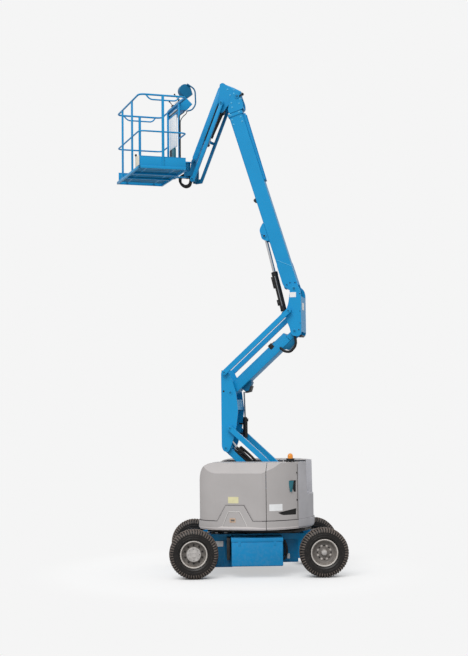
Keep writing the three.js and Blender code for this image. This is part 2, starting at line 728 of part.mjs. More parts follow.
function midPivotSolid() {
  const outline = outlineOf([
    [-62, 22], [-30, -48], [44, -56], [96, 67], [165, 318], [195, 569], [165, 840],
    [112, 1009], [46, 1146], [10, 1184], [-40, 1176], [-62, 1136],
  ], 30);
  drilled(outline, [[-24, 856, 15]]);
  const plates = bothSides(lane.plate).map((y) => plateAcross(outline, y));
  const inner = lane.plate[0] + 1;
  const frontWeb = block([-60, -48], [-inner, inner], [70, 780]);
  const crossWeb = block([-50, 150], [-inner, inner], [575, 587]);
  const rearWeb = plateAcross(outlineOf([[138, 575], [182, 575], [172, 728], [158, 728]]), [-inner, inner]);
  const armPins = [[0, 0], [upperArmPin.x, upperArmPin.z]].map(([x, z]) =>
    barAcross(armPin, x, z, [-lane.plate[1] - 4, lane.plate[1] + 4]));
  const stubs = [[linkOffset.x, linkOffset.z], [upperLinkPin.x, upperLinkPin.z]].flatMap(([x, z]) =>
    bothSides([lane.plate[0], lane.link[1] + 2]).map((y) => barAcross(linkPin, x, z, y)));
  const lugOutline = outlineOf([
    [-52, liftEye.z - 50], [liftEye.x + 20, liftEye.z - 42], [liftEye.x + 44, liftEye.z],
    [liftEye.x + 20, liftEye.z + 42], [-52, liftEye.z + 90],
  ], 18);
  const lugs = bothSides(lane.lug).map((y) => plateAcross(lugOutline, y));
  return join(plates, frontWeb, crossWeb, rearWeb, armPins, stubs, lugs);
}
place(mid, 'mid_pivot', midPivotSolid(), finish.bluePaint);

// Three hoses that stand behind the far plate's edge, in two clamps.
function midHoses() {
  const { radius, pitch, firstX, span, clampZ } = midHose;
  const y = (lane.plate[0] + lane.plate[1]) / 2;
  const lines = [0, 1, 2].map((i) => barUp(radius, firstX + i * pitch, y, span, 8));
  const clamps = clampZ.map(([x, z]) =>
    block([x, firstX + 2 * pitch + radius + 2], [y - radius - 1, y + radius + 1], [z - 9, z + 9]));
  return join(lines, clamps);
}
place(mid, 'mid_hose', midHoses(), finish.blackSteel);

const upperArm = pivotAt(mid, 'pivot_upper_arm', [upperArmPin.x, 0, upperArmPin.z], { pitch: -stageAngle });
function upperArmSolid() {
  const half = lane.upperArm;
  const { start, end, low, high, wall } = upperArmBox;
  const body = plateAcross(outlineOf([
    [start, low], [start, 60], [120, high], [armLength - end - 10, high], [armLength - end, low],
  ], 12), [-half, half]);
  const hollow = plateAcross(outlineOf([
    [200, low + wall], [200, high - wall], [armLength - 220, high - wall], [armLength - 220, low + wall],
  ]), [-half + wall, half - wall]);
  const ears = [0, armLength].flatMap((x) => bothSides([half - 46, half]).map((y) => {
    const inwards = x === 0 ? 90 : -160;
    const web = block([Math.min(x, x + inwards), Math.max(x, x + inwards)], y, [-50, 44]);
    return join(barAcross(52, x, 0, y), web);
  }));
  const sleeves = [0, armLength].map((x) => barAcross(44, x, 0, [-half + 2, half - 2]));
  const bores = [0, armLength].map((x) => barAcross(boreFor(armPin), x, 0, [-half - 5, half + 5]));
  const drains = block([560, 640], [-60, 60], [-60, -40]);
  const bracket = plateAcross(outlineOf([[286, -46], [404, -46], [396, -128], [360, -160], [308, -138]], 14), [-46, 46]);
  return cut(join(body, ears, sleeves, bracket), bores, hollow, drains);
}
place(upperArm, 'upper_arm', upperArmSolid(), finish.bluePaint);
const hoseLane = -lane.upperArm - 31;
place(upperArm, 'pivot_hose', bentTube([
  [armLength - 58, -lane.upperArm - fitGap, 0], [armLength - 58, hoseLane, 0], [armLength - 161, hoseLane, -98],
  [armLength - 326, hoseLane, -90], [armLength - 355, hoseLane, -16],
  [armLength - 355, -lane.upperArm - fitGap, -16],
], hose.radius, 45), finish.blackSteel);
const padRest = upperArmBox.high + fitGap;
place(upperArm, 'boom_rest_pad', plateAcross(outlineOf([
  [armLength - 418, padRest], [armLength - 336, padRest],
  [armLength - 344, upperArmBox.high + 26], [armLength - 410, upperArmBox.high + 26],
], 8), [-58, 58]), finish.blackSteel);

const upperLinks = pivotAt(mid, 'pivot_upper_links', [upperLinkPin.x, 0, upperLinkPin.z], { pitch: -stageAngle });
['near', 'far'].forEach((sideName, i) => place(upperLinks, `upper_link_${sideName}`,
  straightArm({ length: armLength, height: 72, spans: [linkSpans[i]], pin: linkPin, towards: 1, endRadius: 40 }),
  finish.bluePaint));

const head = pivotAt(upperArm, 'pivot_upper_pivot', [armLength, 0, 0], { pitch: stageAngle });
function upperPivotSolid() {
  const outline = outlineOf([
    [-60, -22], [-20, -74], [76, -74], [104, -30], [104, 570], [84, 640], [30, 696], [-24, 698],
    [-62, 655], [-66, 580], [-88, 420], [-118, 330], [-126, 180], [-70, 40],
  ], 26);
  drilled(outline, [[66, 22, 14]]);
  const plates = bothSides(lane.plate).map((y) => plateAcross(outline, y));
  const inner = lane.plate[0] + 1;
  const rearWeb = block([92, 104], [-inner, inner], [-10, 520]);
  const frontWeb = block([-120, -104], [-inner, inner], [170, 318]);
  const pins = [[0, 0], [0, boomPinRise]].map(([x, z]) =>
    barAcross(armPin, x, z, [-inner, inner]));
  const stubs = bothSides([lane.plate[0], lane.link[1] + 2]).map((y) =>
    barAcross(linkPin, -linkOffset.x, linkOffset.z, y));
  const eye = { x: boomCylBase.x, z: boomPinRise + boomCylBase.z };
  const lugOutline = outlineOf([
    [-106, eye.z - 70], [eye.x, eye.z - 46], [eye.x - 44, eye.z], [eye.x, eye.z + 46], [-106, eye.z + 44],
  ], 22);
  const lugs = bothSides(lane.lug).map((y) => plateAcross(lugOutline, y));
  const cylPin = barAcross(25, eye.x, eye.z, [-lane.lug[0] - 2, lane.lug[0] + 2]);
  return join(plates, rearWeb, frontWeb, pins, stubs, lugs, cylPin);
}
place(head, 'upper_pivot', upperPivotSolid(), finish.bluePaint);

// ---------------------------------------------------------------- cylinders

// Barrel and rod of a cylinder that lies towards -X from its base pin.
function barrelSolid({ length, radius, pin, half }) {
  const tube = barAlong(radius, [-length, -70], 0, 0);
  const gland = barAlong(radius + 4, [-length, -length + 50], 0, 0);
  const eye = barAcross(pin + 20, 0, 0, [-half, half]);
  const neck = block([-90, 0], [-half, half], [-pin - 12, pin + 12]);
  return { tube, gland, eye, neck, pin, half };
}

function barrelOf(spec, rodRadius, depth) {
  const { tube, gland, eye, neck, pin, half } = barrelSolid(spec);
  const bore = barAlong(rodRadius + 1, [-spec.length - 1, -spec.length + depth], 0, 0, 12);
  return cut(join(tube, gland, eye, neck), barAcross(boreFor(pin), 0, 0, [-half - 1, half + 1]), bore);
}

function rodOf({ length, tail, radius, pin, half }) {
  const bar = barAlong(radius, [-length, -tail], 0, 0, 12);
  const eye = barAcross(pin + 13, -length, 0, [-half, half]);
  const stub = barAcross(pin, -length, 0, [-half - 2, half + 2]);
  return join(bar, eye, stub);
}

function cylinderSpan(from, to) {
  const dx = to.x - from.x;
  const dz = to.z - from.z;
  return { length: Math.hypot(dx, dz), pitch: THREE.MathUtils.radToDeg(Math.atan2(dz, -dx)) };
}

const armTop = {
  x: lowerArmPin.x - armLength * Math.cos(radians(stageAngle)),
  z: lowerArmPin.z + armLength * Math.sin(radians(stageAngle)),
};
const liftSpan = cylinderSpan(liftBase, { x: armTop.x + liftEye.x, z: armTop.z + liftEye.z });
const liftBarrelLength = 1080;
const liftBarrel = pivotAt(turntable, 'pivot_lift_barrel', [liftBase.x, 0, liftBase.z], { pitch: liftSpan.pitch });
place(liftBarrel, 'lift_barrel',
  barrelOf({ length: liftBarrelLength, radius: 48, pin: 25, half: lane.cylinder }, 27, 420), finish.blackSteel);
const liftRod = pivotAt(liftBarrel, 'pivot_lift_rod', [0, 0, 0]);
place(liftRod, 'lift_rod',
  rodOf({ length: liftSpan.length, tail: liftBarrelLength - 110, radius: 27, pin: 22, half: 40 }), finish.chrome);

const boomEye = {
  x: -boomCylEye.s * Math.cos(radians(boomAngle)) + boomCylEye.h * Math.sin(radians(boomAngle)),
  z: boomCylEye.s * Math.sin(radians(boomAngle)) + boomCylEye.h * Math.cos(radians(boomAngle)),
};
const boomCylSpan = cylinderSpan(boomCylBase, boomEye);
const boomBarrelLength = 665;
const boomBarrel = pivotAt(head, 'pivot_boom_barrel',
  [boomCylBase.x, 0, boomPinRise + boomCylBase.z], { pitch: boomCylSpan.pitch });
place(boomBarrel, 'boom_barrel',
  barrelOf({ length: boomBarrelLength, radius: 46, pin: 25, half: lane.cylinder }, 24, 590), finish.blackSteel);
const boomRod = pivotAt(boomBarrel, 'pivot_boom_rod', [0, 0, 0]);
place(boomRod, 'boom_rod',
  rodOf({ length: boomCylSpan.length, tail: boomBarrelLength - 76, radius: 24, pin: 20, half: 40 }), finish.chrome);

// ---------------------------------------------------------------- primary boom

const boom = pivotAt(head, 'pivot_boom', [0, 0, boomPinRise], { pitch: boomAngle });

function boxTube({ low, high, half, wall }, [s0, s1]) {
  const outer = outlineOf([[-half, low], [half, low], [half, high], [-half, high]], 22);
  const hole = outlineOf([
    [-half + wall, low + wall], [half - wall, low + wall],
    [half - wall, high - wall], [-half + wall, high - wall],
  ], 16);
  return cut(plateAlong(outer, [-s1, -s0], 3), plateAlong(hole, [-s1 - 5, -s0 + 5], 3));
}

function boomSolid() {
  const { low, high, half, start, end } = boomTube;
  const tube = boxTube(boomTube, [start, end]);
  const collar = boxTube({ low: low - 12, high: high + 12, half: half + 12, wall: 13 }, [end - 46, end + 2]);
  const footOutline = outlineOf([
    [56, -20], [34, 52], [0, 62], [-430, high + 2], [-486, high - 40], [-470, low + 20],
    [-430, low - 2], [-112, low - 4], [-15, -94],
  ], 30);
  const foot = bothSides([half - 2, half + 12]).map((y) => plateAcross(footOutline, y));
  const sleeve = cut(barAcross(50, 0, 0, [-lane.plate[0] + 5, lane.plate[0] - 5]),
    barAcross(boreFor(armPin), 0, 0, [-300, 300]));
  const cap = block([-start - 12, -start + 2], [-half, half], [low + 20, -64]);
  const lugOutline = outlineOf([
    [-1135, low + 3], [-1040, -245], [-905, -250], [-876, -236], [-822, low + 3],
  ], 30);
  const lugs = bothSides([80, 98]).map((y) => plateAcross(lugOutline, y));
  const bosses = bothSides([97, 106]).map((y) => barAcross(34, -boomCylEye.s, boomCylEye.h, y));
  const foots = foot.map((plate) => cut(plate, barAcross(boreFor(armPin), 0, 0, [-300, 300])));
  return join(tube, collar, foots, sleeve, cap, lugs, bosses);
}
place(boom, 'primary_boom', boomSolid(), finish.bluePaint);

// An open channel for the hoses along the top of the boom.
function hoseTray() {
  const { from, to, half, wall, low, tall } = tray;
  const base = boomTube.high + fitGap;
  const side = outlineOf([[-from, base], [-from, base + low], [-to, base + tall], [-to, base]]);
  return cut(plateAcross(side, [-half, half]),
    block([-to - 5, -from + 5], [-half + wall, half - wall], [base + wall, base + 200]));
}

function restRoller() {
  const top = boomTube.low - fitGap;
  const axleZ = top - roller.drop;
  const cheeks = bothSides([roller.half, roller.half + 8]).map((y) => plateAcross(outlineOf([
    [-roller.s - 34, top], [-roller.s + 34, top], [-roller.s + 18, axleZ - 14], [-roller.s - 18, axleZ - 14],
  ], 10), y));
  const foot = block([-roller.s - 34, -roller.s + 34], [-roller.half - 8, roller.half + 8], [top - 5, top]);
  return join(cheeks, foot, barAcross(roller.radius, -roller.s, axleZ, [-roller.half, roller.half]));
}
place(boom, 'hose_tray', hoseTray(), finish.blackSteel);
place(boom, 'boom_rest_roller', restRoller(), finish.blackSteel);

const extension = pivotAt(boom, 'pivot_extension', [0, 0, 0]);
function extensionSolid() {
  const inset = boomTube.wall + innerTube.gap;
  const section = {
    low: boomTube.low + inset, high: boomTube.high - inset, half: boomTube.half - inset, wall: innerTube.wall,
  };
  const tube = boxTube(section, [innerTube.start, boomTube.end + 60]);
  const nose = boomTube.end + 12;
  const outline = outlineOf([
    [-nose, section.low], [-nose, section.high], [-nose - 6, 96], [-2990, 118], [-3165, 112],
    [-3208, 60], [-3190, 0], [-3040, -92], [-2970, section.low],
  ], 26);
  const plates = bothSides(headPlate).map((y) => plateAcross(outline, y));
  const cover = block([-2955, -nose - 8], [-headPlate[0] - 1, headPlate[0] + 1], [section.high - 4, 94]);
  const pin = barAcross(armPin - 4, -headPin.s, headPin.h, [-headPlate[0] - 2, headPlate[0] + 2]);
  const caps = bothSides([headPlate[1] - 1, headPlate[1] + 6]).map((y) =>
    barAcross(38, -headPin.s, headPin.h, y));
  return join(tube, plates, cover, pin, caps);
}
place(extension, 'extension_boom', extensionSolid(), finish.bluePaint);

// ---------------------------------------------------------------- jib

const tilt = pivotAt(extension, 'pivot_tilt', [-headPin.s, 0, headPin.h], { pitch: -boomAngle });
function tiltSolid() {
  const upper = jibUpperPin;
  const lower = jibLowerPin;
  const outline = outlineOf([
    [52, -30], [40, 46], [-60, 96], [upper.x + 10, upper.z + 46], [upper.x - 44, upper.z + 30],
    [lower.x - 42, lower.z - 10], [jibCylBase.x - 40, jibCylBase.z - 10],
    [jibCylBase.x + 4, jibCylBase.z - 42], [jibCylBase.x + 50, jibCylBase.z], [lower.x + 90, lower.z - 40],
    [10, -56],
  ], 26);
  const plates = bothSides(jibLane.plate).map((y) => plateAcross(outline, y));
  const reach = jibLane.lower[1] + 6;
  const pins = bothSides([jibLane.plate[0] + 1, reach]).map((y) => barAcross(jibTube.pin, lower.x, lower.z, y));
  pins.push(barAcross(jibTube.pin, upper.x, upper.z, [-jibLane.plate[1], jibLane.plate[1]]));
  pins.push(barAcross(jibTube.pin, jibCylBase.x, jibCylBase.z, [-jibLane.plate[1], jibLane.plate[1]]));
  const web = block([-190, -176], [-jibLane.plate[0] - 1, jibLane.plate[0] + 1], [-60, 120]);
  const sleeve = barAcross(46, 0, 0, [-jibLane.plate[1], jibLane.plate[1]]);
  return cut(join(plates, pins, web, sleeve), barAcross(boreFor(armPin - 4), 0, 0, [-200, 200]));
}
place(tilt, 'jib_knuckle', tiltSolid(), finish.darkBlue);

function jibLowerSolid() {
  const { lowerHeight, pin } = jibTube;
  const [inner] = jibLane.lower;
  const tubes = straightArm({
    length: jibLength, height: lowerHeight, spans: bothSides(jibLane.lower), pin, endRadius: lowerHeight / 2,
  });
  const cross = [760, 910].map((x) => barAcross(22, -x, 0, [-inner - 2, inner + 2]));
  const bosses = bothSides([46, inner + 2]).map((y) => barAcross(24, -jibCylEye, 0, y));
  return join(tubes, cross, bosses);
}

function jibUpperSolid() {
  const { upperHeight, pin } = jibTube;
  return straightArm({
    length: jibLength, height: upperHeight, spans: [[-jibLane.upper, jibLane.upper]], pin,
    endRadius: upperHeight / 2,
  });
}

const jibLower = pivotAt(tilt, 'pivot_jib_lower', [jibLowerPin.x, 0, jibLowerPin.z], { pitch: jibAngle });
place(jibLower, 'jib_lower_arm', jibLowerSolid(), finish.bluePaint);
const jibUpper = pivotAt(tilt, 'pivot_jib_upper', [jibUpperPin.x, 0, jibUpperPin.z], { pitch: jibAngle });
place(jibUpper, 'jib_upper_arm', jibUpperSolid(), finish.bluePaint);

// Two hoses along the near side of the jib's upper arm.
function jibHoses() {
  const side = -jibLane.upper - fitGap;
  const lines = [-25, 0].map((z) => barAlong(11, [-980, -330], side - 14, z, 8));
  const clamps = [-370, -660, -940].map((x) => block([x - 12, x + 12], [side - 27, side], [-38, 13]));
  return join(lines, clamps);
}
place(jibUpper, 'jib_hoses', jibHoses(), finish.blackSteel);

const jibEye = {
  x: jibLowerPin.x - jibCylEye * Math.cos(radians(jibAngle)),
  z: jibLowerPin.z + jibCylEye * Math.sin(radians(jibAngle)),
};
const jibCylSpan = cylinderSpan(jibCylBase, jibEye);
const jibBarrelLength = 440;
const jibBarrel = pivotAt(tilt, 'pivot_jib_barrel', [jibCylBase.x, 0, jibCylBase.z], { pitch: jibCylSpan.pitch });
place(jibBarrel, 'jib_barrel',
  barrelOf({ length: jibBarrelLength, radius: 30, pin: jibTube.pin, half: 50 }, 16, 360), finish.blackSteel);
const jibRod = pivotAt(jibBarrel, 'pivot_jib_rod', [0, 0, 0]);
place(jibRod, 'jib_rod',
  rodOf({ length: jibCylSpan.length, tail: jibBarrelLength - 100, radius: 16, pin: 16, half: 38 }), finish.chrome);

const mount = pivotAt(jibLower, 'pivot_mount', [-jibLength, 0, 0], { pitch: -jibAngle });
function mountSolid() {
  const upper = { x: jibUpperPin.x - jibLowerPin.x, z: jibUpperPin.z - jibLowerPin.z };
  const outline = outlineOf([
    [40, -36], [52, 60], [upper.x + 40, upper.z + 10], [upper.x, upper.z + 42],
    [upper.x - 40, upper.z + 14], [-46, 150], [rotator.x + 10, 112], [rotator.x + 10, 63], [-40, 63], [-40, -36],
  ], 12);
  const plates = bothSides(jibLane.plate).map((y) => plateAcross(outline, y));
  const reach = jibLane.lower[1] + 6;
  const pins = [{ x: 0, z: 0 }, upper].map(({ x, z }) => barAcross(jibTube.pin, x, z, [-reach, reach]));
  const arm = block([rotator.x - 40, -20], [-jibLane.plate[0] - 1, jibLane.plate[0] + 1], [62, 112]);
  const seat = barUp(rotator.radius + 12, rotator.x, 0, [62, rotator.low - 8]);
  const body = barUp(rotator.radius, rotator.x, 0, [rotator.low - 10, rotator.high]);
  return join(plates, pins, arm, seat, body);
}
place(mount, 'platform_mount', mountSolid(), finish.darkBlue);

// ---------------------------------------------------------------- platform

const deck = pivotAt(mount, 'pivot_platform', [rotator.x, 0, platform.floorZ], { yaw: platformYaw });
const edge = { rear: -platform.offset, front: -platform.offset - platform.width };
const side = platform.length / 2;

function platformFrame() {
  const { tube } = platform;
  const rim = [
    [[edge.rear, -side], [edge.front, -side]], [[edge.front, side], [edge.rear, side]],
    [[edge.rear, side], [edge.rear, -side]], [[edge.front, -side], [edge.front, side]],
  ].map(([[x0, y0], [x1, y1]]) => block(
    [Math.min(x0, x1) - 14, Math.max(x0, x1) + 14], [Math.min(y0, y1) - 14, Math.max(y0, y1) + 14], [0, 40]));
  const toes = [-1, 1].map((end) => {
    const y = end * side;
    return block([edge.front + 12, edge.rear - 12], [y - 3, y + 3], [2, platform.toeHeight]);
  });
  const { post, gate, rearPosts } = platform;
  const posts = [
    [edge.front, gate[0]], [edge.front, gate[1]], [edge.rear, -rearPosts], [edge.rear, rearPosts],
  ].map(([x, y]) => block([x - 13, x + 13], [y - post, y + post], [2, platform.railHeight - tube]));
  const middle = (edge.front + edge.rear) / 2;
  const shortPosts = [-side, side].map((y) => block([middle - post, middle + post], [y - 12, y + 12],
    [20, platform.railHeight - tube]));
  const bearers = [-200, 200].map((y) => block([edge.front, edge.rear], [y - 20, y + 20], [0, 26]));
  const support = block([edge.rear - 4, edge.rear + 40], [-76, 76], [0, 300]);
  const hub = rotator.radius + 4;
  const clasp = [[rotator.high + 5, rotator.high + 25], [rotator.low - 96, rotator.low - 82]].map(([low, high]) => {
    const top = [low - platform.floorZ, high - platform.floorZ];
    return plateUp(outlineOf([
      [edge.rear + 20, -hub], [20, -hub], [hub, -20], [hub, 20], [20, hub], [edge.rear + 20, hub],
    ], 16), top);
  });
  return join(rim, toes, posts, shortPosts, bearers, support, clasp, platformRails());
}

function railLoop(z, radius, bend) {
  const { front, rear } = edge;
  return bentTube([
    [rear, 0, z], [rear, -side, z], [front, -side, z], [front, side, z], [rear, side, z], [rear, 0, z],
  ], radius, bend);
}

function platformRails() {
  const { railHeight, midRail, tube, corner, gate, rearPosts } = platform;
  const { front, rear } = edge;
  const high = railHeight - tube;
  const top = railLoop(high, tube, corner);
  const middle = bentTube([
    [rear, -rearPosts, midRail], [rear, -side, midRail], [front, -side, midRail], [front, gate[0], midRail],
  ], tube - 2, corner);
  const middleFar = bentTube([
    [front, gate[1], midRail], [front, side, midRail], [rear, side, midRail], [rear, rearPosts, midRail],
  ], tube - 2, corner);
  const grabs = [-side, side].map((y) => bentTube([
    [rear - 98, y, high], [rear - 154, y, high - 72],
    [front + 165, y, high - 72], [front + 98, y, high],
  ], 11, 40, 8));
  return join(top, middle, middleFar, grabs);
}

function floorGrating() {
  const { slatPitch, slatHalf, length, width } = platform;
  const count = Math.floor((length - 2 * slatHalf - 30) / slatPitch);
  const slats = Array.from({ length: count + 1 }, (_, i) => {
    const y = (i - count / 2) * slatPitch;
    return block([edge.front + 17, edge.rear - 17], [y - slatHalf, y + slatHalf], [30, 36]);
  });
  const runners = [-0.3, 0.3].map((share) => {
    const x = (edge.front + edge.rear) / 2 + share * width;
    return block([x - 14, x + 14], [-side + 15, side - 15], [27, 33]);
  });
  return join(slats, runners);
}

function entryRail() {
  const { midRail, gate, post, tube } = platform;
  const reach = post + runGap + 2;
  return barAcross(tube - 2, edge.front, midRail, [gate[0] + reach, gate[1] - reach]);
}

// The control console sits astride the top rail.
function consoleBox() {
  const { railHeight, tube } = platform;
  const box = plateAcross(outlineOf(control.face, 14), [-control.half, control.half]);
  return cut(box, block([edge.rear - 100, edge.rear + tube + fitGap], [-400, 400], [900, railHeight + fitGap]));
}

// A hinged cover that lies over the near end of the console, shown open.
function consoleCover() {
  const { x, z, radius, span } = control.cover;
  const low = control.face[1][1] + fitGap;
  const shape = new THREE.Shape();
  shape.moveTo(x - radius, low);
  shape.lineTo(x + radius, low);
  shape.lineTo(x + radius, z);
  shape.absarc(x, z, radius, 0, Math.PI, false);
  shape.closePath();
  return plateAcross(shape, span, 10);
}

function consoleGuard() {
  const { guard, guardRadius, half } = control;
  return bentTube(guard.map(([x, z]) => [x, -half - guardRadius - fitGap, z]), guardRadius, 60);
}

// The document holder hangs from the top rail at the rear, with the socket box under it.
function documentBox() {
  const back = edge.rear + platform.tube + fitGap;
  const seam = 490;
  const holder = plateAlong(outlineOf([[-70, seam - 2], [285, seam - 2], [285, 988], [-70, 988]], 18),
    [back, back + 30]);
  const socket = plateAlong(outlineOf([[-40, 330], [230, 330], [230, seam], [-40, seam]], 18),
    [back, back + 40]);
  return join(holder, socket);
}

place(deck, 'platform_frame', platformFrame(), finish.bluePaint);
place(deck, 'platform_floor', floorGrating(), finish.steel);
place(deck, 'control_console', consoleBox(), finish.greyPlastic);
place(deck, 'console_cover', consoleCover(), finish.darkBlue);
place(deck, 'console_guard', consoleGuard(), finish.bluePaint);
place(deck, 'document_box', documentBox(), finish.greyPlastic);
const entry = pivotAt(deck, 'pivot_entry_rail', [0, 0, 0]);
place(entry, 'entry_rail', entryRail(), finish.bluePaint);

export default machine;
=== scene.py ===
# Articulating boom lift: finishes, fine pieces, floor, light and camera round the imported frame.
import bpy, bmesh, json
from math import radians, sin, cos, pi
from mathutils import Matrix, Vector
from mathutils.bvhtree import BVHTree


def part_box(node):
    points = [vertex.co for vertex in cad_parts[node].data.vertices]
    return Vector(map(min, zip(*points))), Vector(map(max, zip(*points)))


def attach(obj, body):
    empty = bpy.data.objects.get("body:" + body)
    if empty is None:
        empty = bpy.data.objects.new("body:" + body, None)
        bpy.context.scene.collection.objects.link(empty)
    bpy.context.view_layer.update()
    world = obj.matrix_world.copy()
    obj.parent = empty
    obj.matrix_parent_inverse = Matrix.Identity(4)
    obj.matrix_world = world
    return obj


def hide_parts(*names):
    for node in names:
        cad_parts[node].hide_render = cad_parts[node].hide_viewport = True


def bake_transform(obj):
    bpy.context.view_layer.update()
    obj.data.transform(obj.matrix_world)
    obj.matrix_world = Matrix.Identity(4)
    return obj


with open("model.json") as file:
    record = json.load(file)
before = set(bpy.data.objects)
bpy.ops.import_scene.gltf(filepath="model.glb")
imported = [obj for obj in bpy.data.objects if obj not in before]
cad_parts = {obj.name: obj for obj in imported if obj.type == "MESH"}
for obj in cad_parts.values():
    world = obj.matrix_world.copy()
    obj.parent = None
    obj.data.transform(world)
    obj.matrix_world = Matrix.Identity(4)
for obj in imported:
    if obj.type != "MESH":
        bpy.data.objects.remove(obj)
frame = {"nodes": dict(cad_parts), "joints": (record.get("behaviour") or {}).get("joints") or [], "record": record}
nodes = frame["nodes"]
bodyOf = {node: body for body, members in frame["record"]["behaviour"]["bodies"].items() for node in members}
pinAt = {j["name"]: Vector(j["pos_m"]) for j in frame["joints"] if j.get("pos_m")}
slideAxis = {j["name"]: Vector(j["axis"]) for j in frame["joints"] if j["type"] == "slide"}
flanks = {"near": -1, "far": 1}  # and the side of each along y
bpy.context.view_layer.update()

view = {
    "at": (-0.397, -18.321, 2.574),
    "yaw": 1.57,      # degrees to the right of +Y
    "pitch": 3.38,    # upwards
    "roll": -0.64,
    "lens": 66.25,
}


def turned(degrees, axis):
    return Matrix.Rotation(radians(degrees), 4, axis)


def makeCamera(spec):
    yaw, pitch, roll = (radians(spec[key]) for key in ("yaw", "pitch", "roll"))
    ahead = Vector((sin(yaw) * cos(pitch), cos(yaw) * cos(pitch), sin(pitch)))
    level = Vector((cos(yaw), -sin(yaw), 0))
    upright = level.cross(ahead)
    right = level * cos(roll) + upright * sin(roll)
    up = upright * cos(roll) - level * sin(roll)
    data = bpy.data.cameras.new("viewCamera")
    data.lens = spec["lens"]
    data.sensor_width = 36
    data.clip_end = 200
    camera = bpy.data.objects.new("viewCamera", data)
    turn = Matrix((right, up, -ahead)).transposed().to_4x4()
    camera.matrix_world = Matrix.Translation(spec["at"]) @ turn
    bpy.context.scene.collection.objects.link(camera)
    bpy.context.scene.camera = camera


makeCamera(view)

turnYaw = -13.5
stored = {"riser": 42.5, "boom": 72.8, "jib": -68.2}  # pitch of each arm as packed
slewAxis = Vector((0.409, 0, 0))
turnPlace = Matrix.Translation(slewAxis) @ turned(turnYaw, "Z")
deckYaw = 16.9
deckPlace = Matrix.Translation(pinAt["platform_rotate"]) @ turned(deckYaw, "Z")


def levelAt(joint):  # level axes of the turntable, at a joint
    return Matrix.Translation(pinAt[joint]) @ turned(turnYaw, "Z")


def pitchedAt(joint, pitch):
    return levelAt(joint) @ turned(pitch, "Y")


def newGroup(name, inputs, outputs):
    group = bpy.data.node_groups.new(name, "ShaderNodeTree")
    for label, value in inputs:
        socket = group.interface.new_socket(label, in_out="INPUT", socket_type="NodeSocketFloat")
        socket.default_value = value
    for label in outputs:
        group.interface.new_socket(label, in_out="OUTPUT", socket_type="NodeSocketFloat")
    return group, group.nodes.new("NodeGroupInput"), group.nodes.new("NodeGroupOutput")


def setInputs(tree, node, inputs):  # linked or set, by name or in order
    for key, value in inputs.items() if isinstance(inputs, dict) else enumerate(inputs):
        if isinstance(value, bpy.types.NodeSocket):
            tree.links.new(value, node.inputs[key])
        else:
            node.inputs[key].default_value = value
    return node


def addNode(tree, kind, inputs=(), **settings):
    node = tree.nodes.new("ShaderNode" + kind)
    for key, value in settings.items():
        setattr(node, key, value)
    return setInputs(tree, node, inputs)


def mathNode(tree, kind, *values, clamp=False):
    return addNode(tree, "Math", values, operation=kind, use_clamp=clamp).outputs[0]


def noiseNode(tree, scale, detail, roughness, stretch=None):
    coords = addNode(tree, "TexCoord").outputs["Object"]
    if stretch:
        coords = addNode(tree, "Mapping", {"Vector": coords, "Scale": stretch}).outputs[0]
    inputs = {"Vector": coords, "Scale": scale, "Detail": detail, "Roughness": roughness}
    return addNode(tree, "TexNoise", inputs).outputs["Fac"]


def stepRange(tree, value, low, high):
    inputs = {"Value": value, "From Min": low, "From Max": high}
    return addNode(tree, "MapRange", inputs, interpolation_type="SMOOTHSTEP").outputs["Result"]


def buildEdgeWearAndHighlight():
    group, start, end = newGroup("edgeWearAndHighlight", [("Scale", 40.0), ("Amount", 0.5)], ["Mask"])
    # a lighter colour along the rounded edges, broken up by noise: partly rubbed paint, partly a painted highlight
    # on the edges
    rounded = addNode(group, "Bevel", {"Radius": 0.006}, samples=4).outputs[0]
    normal = addNode(group, "NewGeometry").outputs["Normal"]
    turned = addNode(group, "VectorMath", [rounded, normal], operation="DOT_PRODUCT").outputs["Value"]
    edge = stepRange(group, mathNode(group, "SUBTRACT", 1.0, turned), 0.02, 0.16)
    chips = stepRange(group, noiseNode(group, start.outputs["Scale"], 5.0, 0.7), 0.44, 0.60)
    mask = mathNode(group, "MULTIPLY", edge, chips)
    mask = mathNode(group, "MULTIPLY", mask, start.outputs["Amount"], clamp=True)
    group.links.new(mask, end.inputs["Mask"])
    return group


def buildSettledDust():
    group, start, end = newGroup("settledDust", [("Top", 0.4), ("Low", 0.3), ("Reach", 0.8)], ["Mask"])
    geometry = addNode(group, "NewGeometry")
    tilt, height = (addNode(group, "SeparateXYZ", [geometry.outputs[label]]).outputs["Z"]
                    for label in ("Normal", "Position"))
    facing = stepRange(group, tilt, 0.35, 0.95)
    cloudy = stepRange(group, noiseNode(group, 7.0, 6.0, 0.65), 0.35, 0.72)
    top = mathNode(group, "MULTIPLY", mathNode(group, "MULTIPLY", facing, cloudy), start.outputs["Top"])
    depth = mathNode(group, "DIVIDE", height, start.outputs["Reach"])
    near = mathNode(group, "SUBTRACT", 1.0, depth, clamp=True)
    splash = stepRange(group, noiseNode(group, 22.0, 6.0, 0.7), 0.38, 0.7)
    low = mathNode(group, "MULTIPLY", mathNode(group, "MULTIPLY", near, splash), start.outputs["Low"])
    group.links.new(mathNode(group, "ADD", top, low, clamp=True), end.inputs["Mask"])
    return group


def buildSurfaceGrain():
    group, start, end = newGroup("surfaceGrain", [("Scale", 300.0), ("Broad", 3.0)], ["Height", "Tone"])
    fine = noiseNode(group, start.outputs["Scale"], 2.0, 0.5)
    broad = noiseNode(group, start.outputs["Broad"], 4.0, 0.6)
    group.links.new(fine, end.inputs["Height"])
    group.links.new(broad, end.inputs["Tone"])
    return group


def buildRunStreaks():
    group, start, end = newGroup("runStreaks", [("Amount", 0.3)], ["Mask"])
    lines = stepRange(group, noiseNode(group, 9.0, 5.0, 0.7, (3.2, 3.2, 0.16)), 0.5, 0.75)
    group.links.new(mathNode(group, "MULTIPLY", lines, start.outputs["Amount"]), end.inputs["Mask"])
    return group


